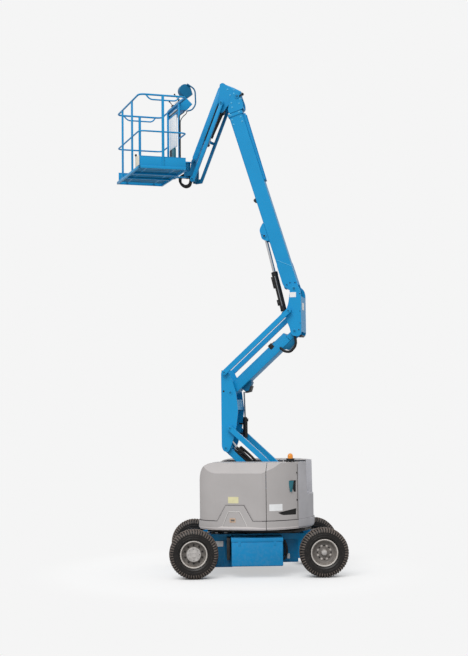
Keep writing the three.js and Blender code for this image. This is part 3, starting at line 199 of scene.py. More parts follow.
groups = {
    "wearAndShine": buildEdgeWearAndHighlight(),
    "dust": buildSettledDust(),
    "grain": buildSurfaceGrain(),
    "streaks": buildRunStreaks(),
}


def useGroup(tree, key, **values):
    return addNode(tree, "Group", values, node_tree=groups[key])


def mixColor(tree, factor, *colors):
    first, second = ((*color, 1) if isinstance(color, tuple) else color for color in colors)
    return addNode(tree, "Mix", {"Factor": factor, "A": first, "B": second}, data_type="RGBA").outputs["Result"]


def srgb(red, green, blue):
    return tuple((c / 255 / 12.92) if c <= 10 else ((c / 255 + 0.055) / 1.055) ** 2.4 for c in (red, green, blue))


def makeFinish(name, slot, color, roughness, *, tone, metal=0.0, coat=0.0, grain=(260.0, 0.02), broad=3.0,
               wearAndShine=0.0, wearAndShineColor=(150, 150, 150), dust=(0.0, 0.0), dustColor=(176, 166, 150),
               streaks=0.0, specular=0.5):
    color, wearAndShineColor, dustColor = srgb(*color), srgb(*wearAndShineColor), srgb(*dustColor)
    material = bpy.data.materials.new(name)
    material.use_nodes = True
    tree = material.node_tree
    grainNode = useGroup(tree, "grain", Scale=grain[0], Broad=broad)
    darker = tuple(c * (1 - tone * 1.6) for c in color)
    lighter = tuple(min(1.0, c * (1 + tone)) for c in color)
    shade = mixColor(tree, stepRange(tree, grainNode.outputs["Tone"], 0.3, 0.7), darker, lighter)
    rough = mathNode(tree, "MULTIPLY_ADD", grainNode.outputs["Tone"], 0.14, roughness - 0.07)
    if streaks:
        mask = useGroup(tree, "streaks", Amount=streaks).outputs["Mask"]
        shade = mixColor(tree, mask, shade, tuple(c * 0.72 for c in color))
    # the edges take their own colour: rubbed paint and a painted edge highlight together
    if wearAndShine:
        mask = useGroup(tree, "wearAndShine", Amount=wearAndShine).outputs["Mask"]
        shade = mixColor(tree, mask, shade, wearAndShineColor)
    if dust[0] or dust[1]:
        mask = useGroup(tree, "dust", Top=dust[0], Low=dust[1]).outputs["Mask"]
        shade = mixColor(tree, mask, shade, dustColor)
        rough = mathNode(tree, "ADD", rough, mathNode(tree, "MULTIPLY", mask, 0.35), clamp=True)
    bump = addNode(tree, "Bump", {"Strength": min(1.0, grain[1] * 10), "Distance": grain[1] * 0.01,
                                  "Height": grainNode.outputs["Height"]})
    setInputs(tree, tree.nodes["Principled BSDF"], {
        "Metallic": metal, "Coat Weight": coat, "Coat Roughness": 0.12, "Specular IOR Level": specular,
        "Base Color": shade, "Roughness": rough, "Normal": bump.outputs[0]})
    return material, slot


finishes = {  # by name: the material and its slot in the library
    "blue": makeFinish("blueEnamel", "blue_paint", (18, 147, 205), 0.38, coat=0.06, tone=0.03, broad=1.6,
                       wearAndShine=0.35, wearAndShineColor=(96, 160, 196), dust=(0.10, 0.10), specular=0.24),
    "deepBlue": makeFinish("deepBlueEnamel", "dark_blue", (10, 108, 152), 0.42, coat=0.04, tone=0.05, wearAndShine=0.35,
                           wearAndShineColor=(80, 130, 160), dust=(0.10, 0.10), specular=0.22),
    # a darker copy of the blue paint: painted shade on the chassis side panels under the covers and on the far jib
    # bar
    "paintedShadeBlue": makeFinish("shadedBlueEnamel", "dark_blue", (16, 122, 174), 0.42, coat=0.04, tone=0.05,
                          wearAndShine=0.35, wearAndShineColor=(80, 130, 160), dust=(0.10, 0.10), specular=0.2),
    # a darker copy of the blue paint on the battery boxes: painted shade low under the covers
    "paintedShadeBoxBlue": makeFinish("boxEnamelPaintedShade", "blue_paint", (18, 132, 188), 0.4, coat=0.05, tone=0.03, wearAndShine=0.35,
                          wearAndShineColor=(90, 150, 186), dust=(0.10, 0.10), specular=0.22),
    # a lighter copy of the blue paint: painted highlight on bolt heads and weld beads
    "seam": makeFinish("boltHighlightBlue", "blue_paint", (96, 188, 226), 0.4, tone=0.03, broad=12.0, specular=0.3),
    "shell": makeFinish("mouldedShell", "grey_shell", (178, 174, 173), 0.5, grain=(700.0, 0.05), tone=0.025,
                        broad=1.4, wearAndShine=0.3, wearAndShineColor=(200, 198, 196), dust=(0.10, 0.05), streaks=0.08,
                        specular=0.35),
    # dark shell colour: painted shade in the belt's crease, and the dark seam line of the rear panel
    "seamAndCreaseShade": makeFinish("shellCreaseShade", "grey_shell", (92, 88, 90), 0.6, grain=(700.0, 0.05), tone=0.05,
                         specular=0.2),
    # a lighter copy of the shell for the faces below the belt: painted light on the downward-sloping skirt
    "skirt": makeFinish("shellSkirtPaintedLight", "grey_shell", (212, 206, 205), 0.5, grain=(700.0, 0.05), tone=0.03,
                        broad=1.4, dust=(0.08, 0.05), streaks=0.06, specular=0.3),
    "plate": makeFinish("blankPlate", "grey_shell", (206, 176, 150), 0.42, grain=(200.0, 0.03), tone=0.06,
                        broad=30.0, dust=(0.08, 0.05)),
    # a lighter copy of the shell: painted highlight along the emblem outline
    "outline": makeFinish("shellOutlineHighlight", "grey_shell", (222, 219, 216), 0.5, grain=(700.0, 0.05), tone=0.04,
                          specular=0.3),
    "casting": makeFinish("castWeight", "grey_casting", (184, 183, 187), 0.55, grain=(160.0, 0.12), tone=0.04,
                          broad=4.0, wearAndShine=0.35, wearAndShineColor=(120, 116, 112), dust=(0.10, 0.06), streaks=0.10,
                          specular=0.35),
    # a lighter copy of the tyre rubber on the lugs: painted highlight on the lug faces, with real wear and dust over
    # it
    "lugShine": makeFinish("tyreLugHighlight", "tyre_rubber", (98, 88, 82), 0.62, grain=(420.0, 0.05), tone=0.25, broad=14.0,
                      wearAndShine=0.8, wearAndShineColor=(150, 140, 130), dust=(0.2, 0.12), dustColor=(122, 108, 96)),
    "rubber": makeFinish("tyreRubber", "tyre_rubber", (20, 17, 16), 0.44, grain=(420.0, 0.05), tone=0.25,
                         broad=10.0, wearAndShine=0.5, wearAndShineColor=(104, 98, 92), dust=(0.10, 0.09),
                         dustColor=(112, 100, 90), specular=0.4),
    "rim": makeFinish("rimPaint", "rim_paint", (110, 105, 101), 0.5, tone=0.14, broad=12.0, wearAndShine=0.7,
                      wearAndShineColor=(184, 180, 174), dust=(0.2, 0.22), dustColor=(140, 124, 108)),
    "rimEdge": makeFinish("rimEdge", "rim_paint", (196, 190, 184), 0.45, tone=0.1, broad=14.0, wearAndShine=0.5,
                          wearAndShineColor=(222, 218, 214), dust=(0.1, 0.18), dustColor=(146, 128, 112)),
    "hub": makeFinish("hubCasting", "rim_paint", (182, 178, 175), 0.55, grain=(240.0, 0.12), tone=0.12,
                      broad=30.0, wearAndShine=0.5, wearAndShineColor=(206, 202, 198), dust=(0.2, 0.14),
                      dustColor=(140, 124, 108)),
    "black": makeFinish("blackSteel", "black_steel", (26, 25, 25), 0.42, tone=0.14, wearAndShine=0.5,
                        wearAndShineColor=(92, 88, 84), dust=(0.14, 0.12), specular=0.4),
    "hose": makeFinish("hoseRubber", "black_steel", (22, 21, 21), 0.55, grain=(900.0, 0.08), tone=0.15,
                       broad=20.0, dust=(0.12, 0.1), specular=0.35),
    "chrome": makeFinish("chromeRod", "chrome_rod", (205, 207, 210), 0.16, metal=1.0, grain=(60.0, 0.0),
                         tone=0.04),
    "steel": makeFinish("zincSteel", "steel", (160, 163, 166), 0.36, metal=0.85, grain=(320.0, 0.05), tone=0.12,
                        broad=18.0, dust=(0.12, 0.08)),
    "amber": makeFinish("amberLens", "amber_lens", (234, 146, 44), 0.24, coat=0.3, grain=(80.0, 0.03),
                        tone=0.10, broad=26.0),
    "labelWhite": makeFinish("blankLabel", "grey_plastic", (236, 237, 238), 0.4, grain=(200.0, 0.02), tone=0.02,
                             broad=20.0, dust=(0.06, 0.05)),
    "labelYellow": makeFinish("blankYellowLabel", "grey_plastic", (222, 216, 172), 0.4, grain=(200.0, 0.02),
                              tone=0.03, broad=20.0, dust=(0.06, 0.05)),
    "whitePlastic": makeFinish("holderPlastic", "grey_plastic", (244, 245, 246), 0.45, grain=(420.0, 0.04),
                               tone=0.02, dust=(0.1, 0.05)),
    "teal": makeFinish("recessPaint", "black_steel", (34, 108, 122), 0.4, grain=(420.0, 0.04), tone=0.1),
    "red": makeFinish("stopButton", "amber_lens", (190, 30, 26), 0.3, coat=0.3, tone=0.05),
    "cream": makeFinish("creamPlastic", "grey_plastic", (232, 226, 208), 0.45, tone=0.04, dust=(0.1, 0.08)),
}
print("finishes made:", len(finishes))


def addPrism(bm, outline, span, edge, steps=2):
    # an outline of (x, z) corners pushed across y, with its rims eased
    lower = [bm.verts.new((x, span[0], z)) for x, z in outline]
    upper = [bm.verts.new((x, span[1], z)) for x, z in outline]
    count = len(outline)
    faces = [bm.faces.new(lower), bm.faces.new(list(reversed(upper)))]
    for i in range(count):
        j = (i + 1) % count
        faces.append(bm.faces.new((lower[j], lower[i], upper[i], upper[j])))
    bmesh.ops.recalc_face_normals(bm, faces=faces)
    if edge:
        edges = list({e for f in faces for e in f.edges if e.is_manifold and e.calc_face_angle(0) > 0.5})
        bmesh.ops.bevel(bm, geom=edges, offset=edge, segments=steps, profile=0.5, affect="EDGES")


def addBox(bm, start, end, edge, steps=2):  # between two opposite corners, in any order
    (x0, x1), (y0, y1), (z0, z1) = (sorted(pair) for pair in zip(start, end))
    addPrism(bm, [(x0, z0), (x1, z0), (x1, z1), (x0, z1)], (y0, y1), edge, steps)


def mergePart(bm, part, place):  # a small mesh made on its own, moved to its place
    bmesh.ops.transform(part, matrix=place, verts=part.verts)
    mesh = bpy.data.meshes.new("part")
    part.to_mesh(mesh)
    part.free()
    bm.from_mesh(mesh)
    bpy.data.meshes.remove(mesh)


def ringsToFaces(bm, rings):
    for ring, after in zip(rings, rings[1:]):
        count = len(ring)
        for i in range(count):
            j = (i + 1) % count
            bm.faces.new((ring[i], ring[j], after[j], after[i]))


def addTurned(bm, profile, place, sides=32):
    # a profile of (radius, along) turned round the z axis of a place; radius 0 closes an end
    rings = []
    for radius, along in profile:
        if radius < 1e-6:
            rings.append([bm.verts.new(place @ Vector((0, 0, along)))])
        else:
            rings.append([bm.verts.new(place @ Vector((radius * cos(2 * pi * i / sides),
                                                       radius * sin(2 * pi * i / sides), along)))
                          for i in range(sides)])
    made = []
    for ring, after in zip(rings, rings[1:]):
        for i in range(sides):
            j = (i + 1) % sides
            if len(ring) == 1:
                made.append(bm.faces.new((ring[0], after[j], after[i])))
            elif len(after) == 1:
                made.append(bm.faces.new((ring[i], ring[j], after[0])))
            else:
                made.append(bm.faces.new((ring[i], ring[j], after[j], after[i])))
    bmesh.ops.recalc_face_normals(bm, faces=made)


def alongLine(start, end):  # a place at the start, its z axis towards the end
    start = Vector(start)
    return Matrix.Translation(start) @ (Vector(end) - start).to_track_quat("Z", "Y").to_matrix().to_4x4()


def addRod(bm, start, end, radius, sides, ease=0.0015):
    length = (Vector(end) - Vector(start)).length
    ease = min(ease, radius * 0.4, length * 0.4)
    addTurned(bm, [(0, 0), (radius - ease, 0), (radius, ease), (radius, length - ease),
                   (radius - ease, length), (0, length)], alongLine(start, end), sides)


def addBolt(bm, at, outwards, size):  # a washer and a hexagon head
    place = alongLine(at, Vector(at) + Vector(outwards))
    addTurned(bm, [(0, 0), (size * 0.95, 0), (size * 0.95, size * 0.14), (0, size * 0.14)], place, 16)
    addTurned(bm, [(0, size * 0.1), (size * 0.62, size * 0.1), (size * 0.62, size * 0.5),
                   (size * 0.5, size * 0.58), (0, size * 0.58)], place, 6)


def addSideBolts(bm, spots, reach, size):  # on both faces of an arm, at (x, z)
    for side in (-1, 1):
        for x, z in spots:
            addBolt(bm, (x, side * reach, z), (0, side, 0), size)


def bentPoints(corners, bend, steps):
    points = [Vector(c) for c in corners]
    path = [points[0]]
    for before, point, after in zip(points, points[1:], points[2:]):
        reach = min(bend, (point - before).length / 2.1, (after - point).length / 2.1)
        start = point + (before - point).normalized() * reach
        end = point + (after - point).normalized() * reach
        for k in range(steps + 1):
            t = k / steps
            path.append(start * (1 - t) ** 2 + point * (2 * t * (1 - t)) + end * t ** 2)
    path.append(points[-1])
    return path


def addTube(bm, corners, radius, bend, sides=14, closed=False, steps=6):
    # a round tube through bent corners, its frame carried along without twist
    if closed:
        middle = (Vector(corners[0]) + Vector(corners[-1])) / 2
        path = bentPoints([middle, *corners, middle], bend, steps)[:-1]
    else:
        path = bentPoints(corners, bend, steps)
    path = [p for i, p in enumerate(path) if i == 0 or (p - path[i - 1]).length > 1e-5]
    count = len(path)
    rings, side = [], None
    for i, point in enumerate(path):
        before = path[i - 1] if (i or closed) else point
        after = path[(i + 1) % count] if (i < count - 1 or closed) else point
        ahead = (after - before).normalized()
        if side is None:
            side = ahead.orthogonal().normalized()
        side = (side - ahead * side.dot(ahead)).normalized()
        other = ahead.cross(side)
        rings.append([bm.verts.new(point + (side * cos(2 * pi * k / sides)
                                            + other * sin(2 * pi * k / sides)) * radius) for k in range(sides)])
    if closed:  # join the last ring to the first by the nearest turn
        shift = min(range(sides), key=lambda k: (rings[-1][0].co - rings[0][k].co).length)
        first = rings[0][shift:] + rings[0][:shift]
        ringsToFaces(bm, rings)
        ringsToFaces(bm, [rings[-1], first])
    else:
        ringsToFaces(bm, rings)
        bm.faces.new(list(reversed(rings[0])))
        bm.faces.new(rings[-1])


def addPiece(name, bm, body, finish, place=Matrix(), smooth=35, stands=()):
    bmesh.ops.recalc_face_normals(bm, faces=bm.faces)
    bmesh.ops.transform(bm, matrix=place, verts=bm.verts)
    mesh = bpy.data.meshes.new(name)
    bm.to_mesh(mesh)
    bm.free()
    mesh.shade_smooth()
    mesh.set_sharp_from_angle(angle=radians(smooth))
    material, slot = finishes[finish]
    mesh.materials.append(material)
    piece = bpy.data.objects.new(name, mesh)
    bpy.context.scene.collection.objects.link(piece)
    if body:
        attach(piece, body)
    if stands:
        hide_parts(*stands)
    return piece


def addDeckPiece(name, bm, finish, place=deckPlace, **options):
    addPiece(name, bm, "platform", finish, place, **options)


def surfaceOf(name):
    bm = bmesh.new()
    bm.from_mesh(nodes[name].data)
    tree = BVHTree.FromBMesh(bm)
    bm.free()
    return tree


def landOn(trees, place, across, up, side, lift=0.0):
    # the outermost point of some solids at (x, z) of a place, looking along its y axis
    start = place @ Vector((across, side * 2.0, up))
    ahead = (place.to_3x3() @ Vector((0, -side, 0))).normalized()
    hits = [hit for hit in (tree.ray_cast(start, ahead) for tree in trees) if hit[0] is not None]
    if not hits:
        print("nothing under", round(across, 4), round(up, 4), side)
        return start
    nearest = min(hits, key=lambda hit: hit[3])
    return nearest[0] + nearest[1] * lift


def addDecal(bm, trees, place, spanX, spanZ, side, lift=0.0012, cells=(8, 6), thick=0.0010):
    # a thin plate that follows the surface under it
    layers = []
    for extra in (lift, lift - thick):
        layers.append([[bm.verts.new(landOn(trees, place, spanX[0] + (spanX[1] - spanX[0]) * i / cells[0],
                                            spanZ[0] + (spanZ[1] - spanZ[0]) * j / cells[1], side, extra))
                        for i in range(cells[0] + 1)] for j in range(cells[1] + 1)])
    top, low = layers
    for j in range(cells[1]):
        for i in range(cells[0]):
            bm.faces.new((top[j][i], top[j][i + 1], top[j + 1][i + 1], top[j + 1][i]))
            bm.faces.new((low[j][i], low[j + 1][i], low[j + 1][i + 1], low[j][i + 1]))
    rim = [(0, i) for i in range(cells[0])] + [(j, cells[0]) for j in range(cells[1])]
    rim += [(cells[1], i) for i in range(cells[0], 0, -1)] + [(j, 0) for j in range(cells[1], 0, -1)]
    for (j, i), (k, h) in zip(rim, rim[1:] + rim[:1]):
        bm.faces.new((top[j][i], low[j][i], low[k][h], top[k][h]))


def addStrip(bm, points, half, normal, thick):
    # a flat strip of constant width along a line of points, raised along a normal
    normal = Vector(normal).normalized()
    points = [Vector(p) for p in points]
    for start, end in zip(points, points[1:]):
        ahead = (end - start).normalized()
        side = ahead.cross(normal).normalized() * half
        base = [start - side, start + side, end + side, end - side]
        low = [bm.verts.new(p) for p in base]
        top = [bm.verts.new(p + normal * thick) for p in base]
        bm.faces.new(low)
        bm.faces.new(list(reversed(top)))
        for i in range(4):
            j = (i + 1) % 4
            bm.faces.new((low[j], low[i], top[i], top[j]))


def addPins(name, body, place, spots, sides=(-1, 1), rise=0.0095, head="deepBlue"):
    # bosses round pin ends and the dark pin heads in them, at (x, z, reach, radius)
    rings, heads = bmesh.new(), bmesh.new()
    for x, z, reach, radius in spots:
        for side in sides:
            at = alongLine(place @ Vector((x, side * reach, z)), place @ Vector((x, side * (reach + 1), z)))
            low, high = rise * 0.4, rise * 0.6
            addTurned(rings, [(0, -0.0004), (radius, -0.0004), (radius, low), (radius - 0.002, high),
                              (radius * 0.62, high), (radius * 0.60, low * 0.5), (0, low * 0.5)], at, 28)
            addTurned(heads, [(0, low * 0.3), (radius * 0.52, low * 0.3), (radius * 0.52, rise * 0.8),
                              (radius * 0.4, rise), (0, rise)], at, 20)
    addPiece(name + "_bosses", rings, body, "blue", smooth=30)
    addPiece(name + "_heads", heads, body, head, smooth=30)


def dressNode(node, finish, ease):
    # a CAD solid with its coplanar facets merged and its edges eased
    bm = bmesh.new()
    bm.from_mesh(nodes[node].data)
    bmesh.ops.remove_doubles(bm, verts=bm.verts, dist=2e-5)
    bmesh.ops.dissolve_limit(bm, angle_limit=radians(0.6), verts=bm.verts, edges=bm.edges)
    bm.normal_update()
    sharp = [e for e in bm.edges if e.is_manifold and e.calc_face_angle(0) > radians(28)]
    bmesh.ops.bevel(bm, geom=sharp, offset=ease, segments=2, profile=0.5, affect="EDGES",
                    clamp_overlap=True, loop_slide=True)
    piece = addPiece(node + "_finished", bm, bodyOf[node], finish, smooth=32, stands=[node])
    modifier = piece.modifiers.new("weighted", "WEIGHTED_NORMAL")  # broad faces stay flat beside their rounded edges
    modifier.keep_sharp = True
    return piece


wheel = {
    "radius": 0.3555, "half": 0.1145, "bead": 0.197, "lugs": 54, "lugDepth": 0.016,
    "sideRings": (0.232, 0.262), "sides": 96,
    "back": [(0.176, 0.094), (0.162, 0.062), (0.148, 0.026), (0.130, 0.020), (0.062, 0.018), (0.062, -0.061),
             (0, -0.061)],
    "barrel": [(0.178, 0.097), (0.182, 0.1040), (0.189, 0.107), (0.1965, 0.103), (0.1965, 0.090),
               (0.1888, 0.080), (0.1888, -0.088), (0.186, -0.104), (0.178, -0.103), (0.172, -0.088),
               (0.166, -0.02), (0.165, 0.03), (0.170, 0.080)],
    "stud": [(0, 0.008), (0.0055, 0.008), (0.0055, 0.018), (0, 0.019)],
    "hole": [(0, 0), (0.012, 0), (0.012, 0.0015), (0, 0.0015)], "holeFace": 0.0325,
}


def buildTyre(bm, lugs, place):
    radius, half = wheel["radius"] - wheel["lugDepth"], wheel["half"]
    profile = [(wheel["bead"], -half + 0.027), (0.204, -half + 0.016), (0.216, -half + 0.009)]
    for ring in wheel["sideRings"]:
        profile += [(ring - 0.006, -half + 0.0045), (ring - 0.003, -half + 0.002),
                    (ring + 0.003, -half + 0.002), (ring + 0.006, -half + 0.0045)]
    profile += [(0.292, -half + 0.004), (0.312, -half + 0.008), (0.328, -half + 0.017),
                (radius - 0.003, -half + 0.032), (radius, -half + 0.05)]
    profile += [(r, -t) for r, t in reversed(profile)]
    addTurned(bm, profile, place, wheel["sides"])
    # one lug in section, as (along the axle, radius); the two rows are half a step apart
    block = [(-0.004, wheel["radius"] - 0.0005), (0.070, wheel["radius"] - 0.0012),
             (0.094, wheel["radius"] - 0.010), (half - 0.0045, wheel["radius"] - 0.030), (half - 0.0005, 0.296),
             (half - 0.012, 0.290), (0.085, radius - 0.012), (-0.004, radius - 0.006)]
    step = 2 * pi / wheel["lugs"]
    for side in (-1, 1):
        for i in range(wheel["lugs"]):
            base = i * step + (step / 2 if side > 0 else 0)
            rings = []
            for turn in (-0.22, 0.22):
                ring = []
                for along, r in block:
                    lean = 0.55 * step * (0.10 - abs(along)) / 0.10
                    width = turn * step * (1.0 if along < 0.09 else 0.84)
                    angle = base + width + lean
                    ring.append(lugs.verts.new(place @ Vector((r * cos(angle), r * sin(angle), side * along))))
                rings.append(ring)
            ringsToFaces(lugs, rings)
            lugs.faces.new(rings[0])
            lugs.faces.new(list(reversed(rings[1])))


rims = {
    "drive": {
        "dish": [(0.104, 0.070), (0.108, 0.052), (0.116, 0.046), (0.146, 0.046), (0.154, 0.050), (0.168, 0.072),
                 (0.180, 0.098)],
        "cap": [(0, 0.1035), (0.038, 0.1035), (0.042, 0.100), (0.096, 0.100), (0.104, 0.092), (0.107, 0.050)],
        "bolts": 10, "boltCircle": 0.131, "boltFace": 0.046, "boltSize": 0.015,
        "capBolts": 8, "capCircle": 0.082, "capFace": 0.100, "capBoltSize": 0.0055,
    },
    "steer": {
        "dish": [(0.030, 0.050), (0.046, 0.046), (0.058, 0.036), (0.122, 0.032), (0.140, 0.038), (0.154, 0.052),
                 (0.168, 0.076), (0.180, 0.098)],
        "cap": [(0, 0.0985), (0.018, 0.097), (0.033, 0.090), (0.041, 0.076), (0.043, 0.046)],
        "bolts": 8, "boltCircle": 0.098, "boltFace": 0.0335, "boltSize": 0.0165,
        "capBolts": 0, "capCircle": 0, "capFace": 0, "capBoltSize": 0,
    },
}


def aroundAxle(count, circle, face, offset=0.0):
    turns = [2 * pi * (i + offset) / count for i in range(count)]
    return [Vector((circle * cos(turn), circle * sin(turn), face)) for turn in turns]


def buildWheel(kind, name):
    place = Matrix.Translation(pinAt[f"{kind}_wheel_{name}_spin"]) @ turned(-90 * flanks[name], "X")
    body = f"wheel_{kind}_{name}"
    bm, lugs = bmesh.new(), bmesh.new()
    buildTyre(bm, lugs, place)
    addPiece(f"tyre_{kind}_{name}_carcass", bm, body, "rubber", smooth=32, stands=[f"tyre_{kind}_{name}"])
    # the lugs take the lighter rubber as a painted highlight
    addPiece(f"tyre_{kind}_{name}_lugs", lugs, body, "lugShine", smooth=32)
    spec = rims[kind]
    bm = bmesh.new()
    addTurned(bm, [(0, spec["dish"][0][1]), *spec["dish"], *wheel["back"]], place, 64)
    addPiece(f"rim_{kind}_{name}_disc", bm, body, "rim", smooth=30, stands=[f"rim_{kind}_{name}"])
    bm = bmesh.new()
    addTurned(bm, spec["cap"] + [(0, spec["cap"][-1][1])], place, 48)
    addPiece(f"rim_{kind}_{name}_cap", bm, body, "hub", smooth=30)
    bm = bmesh.new()
    addTurned(bm, wheel["barrel"] + wheel["barrel"][:1], place, 64)
    addPiece(f"rim_{kind}_{name}_ring", bm, body, "rimEdge", smooth=30)
    bm = bmesh.new()
    for spot in aroundAxle(spec["bolts"], spec["boltCircle"], spec["boltFace"], 0.5):
        addBolt(bm, spot, (0, 0, 1), spec["boltSize"])
        addTurned(bm, wheel["stud"], alongLine(spot, spot + Vector((0, 0, 1))), 10)
    for spot in aroundAxle(spec["capBolts"], spec["capCircle"], spec["capFace"]):
        addBolt(bm, spot, (0, 0, 1), spec["capBoltSize"])
    addPiece(f"rim_{kind}_{name}_bolts", bm, body, "black" if kind == "drive" else "rimEdge", place, smooth=30)
    if kind == "steer":
        bm = bmesh.new()
        for spot in aroundAxle(spec["bolts"], spec["boltCircle"], wheel["holeFace"]):  # black discs between the bolts: painted shade in the hand holes
            addTurned(bm, wheel["hole"], place @ Matrix.Translation(spot), 16)
        addPiece(f"rim_{kind}_{name}_hole_shades", bm, body, "black", smooth=30)


for name in flanks:
    for kind in rims:
        buildWheel(kind, name)
print("wheels built")

dressed = {
    "blue": [("chassis_frame", 0.004), ("lower_arm", 0.006), ("lower_link_near", 0.004), ("lower_link_far", 0.004),
             ("mid_pivot", 0.003), ("upper_link_near", 0.004), ("upper_link_far", 0.004), ("upper_pivot", 0.003),
             ("primary_boom", 0.002), ("extension_boom", 0.003), ("jib_knuckle", 0.003),
             ("hose_tray", 0.0008)],
    "deepBlue": [("platform_mount", 0.003)],
    "shell": [("door_near", 0.003), ("door_far", 0.003), ("rear_panel_near", 0.003), ("rear_panel_far", 0.003)],
    "casting": [("counterweight", 0.006)],
    # the turntable base takes black steel as painted shade under the covers
    "black": [("slewing_ring", 0.004), ("turntable_base", 0.004), ("power_unit", 0.006),
              ("hydraulic_tank", 0.006), ("steer_knuckle_near", 0.003), ("steer_knuckle_far", 0.003),
              ("boom_rest_pad", 0.004), ("boom_rest_roller", 0.0015), ("beacon_stand", 0.003)],
    "hose": [("riser_hoses", 0.002)],
    "steel": [("tie_rod", 0.002)],
}
pieces = {}
for finish, members in dressed.items():
    for node, ease in members:
        pieces[node] = dressNode(node, finish, ease)
print("steel and shells dressed")

batteries = {"lip": 0.055, "round": 0.012}
skirts = {
    "panels": ((-0.42, 0.030, 0.114), (0.757, 1.004, 0.174)),  # from, to, and the lower edge
    "top": 0.50, "face": 0.3805,
    "hoses": (
        ([(0.745, 0.52, 0.540), (0.800, 0.545, 0.500), (0.836, 0.55, 0.380), (0.806, 0.545, 0.250),
          (0.745, 0.52, 0.225)], 0.016, 0.10, 16),
        ([(0.745, 0.49, 0.520), (0.780, 0.51, 0.480), (0.806, 0.51, 0.380), (0.786, 0.51, 0.280),
          (0.745, 0.49, 0.260)], 0.011, 0.08, 14),
    ),
    "labels": ((-0.212, -0.100, 0.412, 0.492), (0.842, 0.880, 0.225, 0.300)),
}
deckLines = {"across": (-0.30, -0.265, 0.30), "clamps": (-0.34, -0.22, -0.08)}


def buildBatteries():
    for name, side in flanks.items():
        low, high = (Vector(corner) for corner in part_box(f"battery_box_{name}"))
        outer, inner = (low.y, high.y) if side < 0 else (high.y, low.y)
        step = side * 0.007
        bm = bmesh.new()
        addBox(bm, (low.x + 0.004, inner, low.z), (high.x - 0.004, outer - step, high.z - 0.02),
               batteries["round"], 3)
        addBox(bm, (low.x + 0.010, outer - step, low.z + 0.012),
               (high.x - 0.010, outer - step * 0.3, high.z - batteries["lip"] - 0.008), 0.002)
        addBox(bm, (low.x, inner, high.z - batteries["lip"]), (high.x, outer, high.z), 0.006, 3)
        # the case takes the darker blue as painted shade
        addPiece(f"battery_case_{name}", bm, "chassis", "paintedShadeBoxBlue", stands=[f"battery_box_{name}"])
        bm = bmesh.new()
        for share in (0.16, 0.84):
            x = low.x + share * (high.x - low.x)
            addBox(bm, (x - 0.020, outer - step, high.z - 0.115),
                   (x + 0.020, outer - step * 0.05, high.z - 0.045), 0.002)
        addPiece(f"battery_latches_{name}", bm, "chassis", "paintedShadeBoxBlue")


def buildSkirts():
    for tag, side in flanks.items():
        face = side * skirts["face"]
        bm = bmesh.new()
        for start, end, low in skirts["panels"]:
            addBox(bm, (start, face, low), (end, face + side * 0.012, skirts["top"]), 0.003)
            addBox(bm, (start, face, low), (end, face + side * 0.030, low + 0.010), 0.002)
        addBox(bm, (-0.092, face, 0.130), (-0.066, face + side * 0.022, skirts["top"]), 0.003)
        # the side panels take the darker blue as painted shade
        addPiece(f"chassis_skirts_{tag}", bm, "chassis", "paintedShadeBlue")
        # a black block beside the battery box: painted shade in the gap there
        bm = bmesh.new()
        addBox(bm, (-0.050, face, 0.248), (-0.006, side * 0.66, 0.560), 0.003)
        addPiece(f"chassis_gap_shade_{tag}", bm, "chassis", "black")
        bm = bmesh.new()
        for path, radius, bend, sides in skirts["hoses"]:
            addTube(bm, [(x, side * y, z) for x, y, z in path], radius, bend, sides)
        addPiece(f"chassis_hoses_{tag}", bm, "chassis", "hose", smooth=60)
        bm = bmesh.new()
        outer = face + side * 0.0125
        for x0, x1, z0, z1 in skirts["labels"]:
            addBox(bm, (x0, outer, z0), (x1, outer + side * 0.001, z1), 0.0003, 1)
        addPiece(f"chassis_labels_{tag}", bm, "chassis", "labelWhite")


def buildDeckFittings():
    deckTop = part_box("slewing_ring")[0][2]
    bm = bmesh.new()
    for y in deckLines["across"]:
        addTube(bm, [(-0.42, y, deckTop + 0.014), (-0.20, y, deckTop + 0.014), (0.02, y * 0.8, deckTop + 0.014)],
                0.010, 0.08)
    addPiece("deck_hoses", bm, "chassis", "hose", smooth=60)
    bm = bmesh.new()
    for x in deckLines["clamps"]:
        for side in (-1, 1):
            addBox(bm, (x, side * 0.325, deckTop + 0.001), (x + 0.045, side * 0.245, deckTop + 0.026), 0.003)
    addPiece("deck_clamps", bm, "chassis", "steel")


buildBatteries()
buildSkirts()
buildDeckFittings()
print("chassis pieces built")

covers = {
    "line": [(-1.0, 0.816), (-0.408, 0.816), (-0.282, 1.042), (-0.018, 1.042), (0.112, 0.816), (1.0, 0.816)],
    "emblem": [(-0.340, 0.736), (-0.247, 0.954), (-0.077, 0.954), (0.033, 0.736)],
    "decals": [
        ("door_label", "labelYellow", (-0.251, -0.098), (1.074, 1.166), {}),
        ("door_latch", "plate", (-0.226, -0.142), (0.800, 0.860), {"lift": 0.004, "thick": 0.004}),
        ("door_handle", "rim", (-0.212, -0.156), (0.818, 0.844), {"lift": 0.007, "thick": 0.004}),
        ("panel_label", "labelWhite", (0.345, 0.520), (0.962, 1.058), {}),
        ("panel_seam", "seamAndCreaseShade", (0.7095, 0.7155), (0.83, 1.62), {"lift": 0.0008, "cells": (1, 40)}),
    ],
    "seam": 0.7135, "dots": (1.497, 1.104), "skirt": 0.79,
    "openings": (((0.578, 0.708), (1.195, 1.405)), ((0.430, 0.708), (0.865, 1.005))),
    "sound": 1.12,  # a height at which the rear panel is whole
    "reveal": [(0.600, 1.385, 0.004), (0.672, 1.385, 0.032), (0.650, 1.225, 0.032), (0.622, 1.225, 0.004)],
}


def lineDistance(point, line, closed=False):
    best = 9.0
    for a, b in zip(line, line[1:] + (line[:1] if closed else [])):
        a, b = Vector(a), Vector(b)
        share = max(0.0, min(1.0, (point - a).dot(b - a) / (b - a).length_squared))
        best = min(best, (point - a - (b - a) * share).length)
    return best


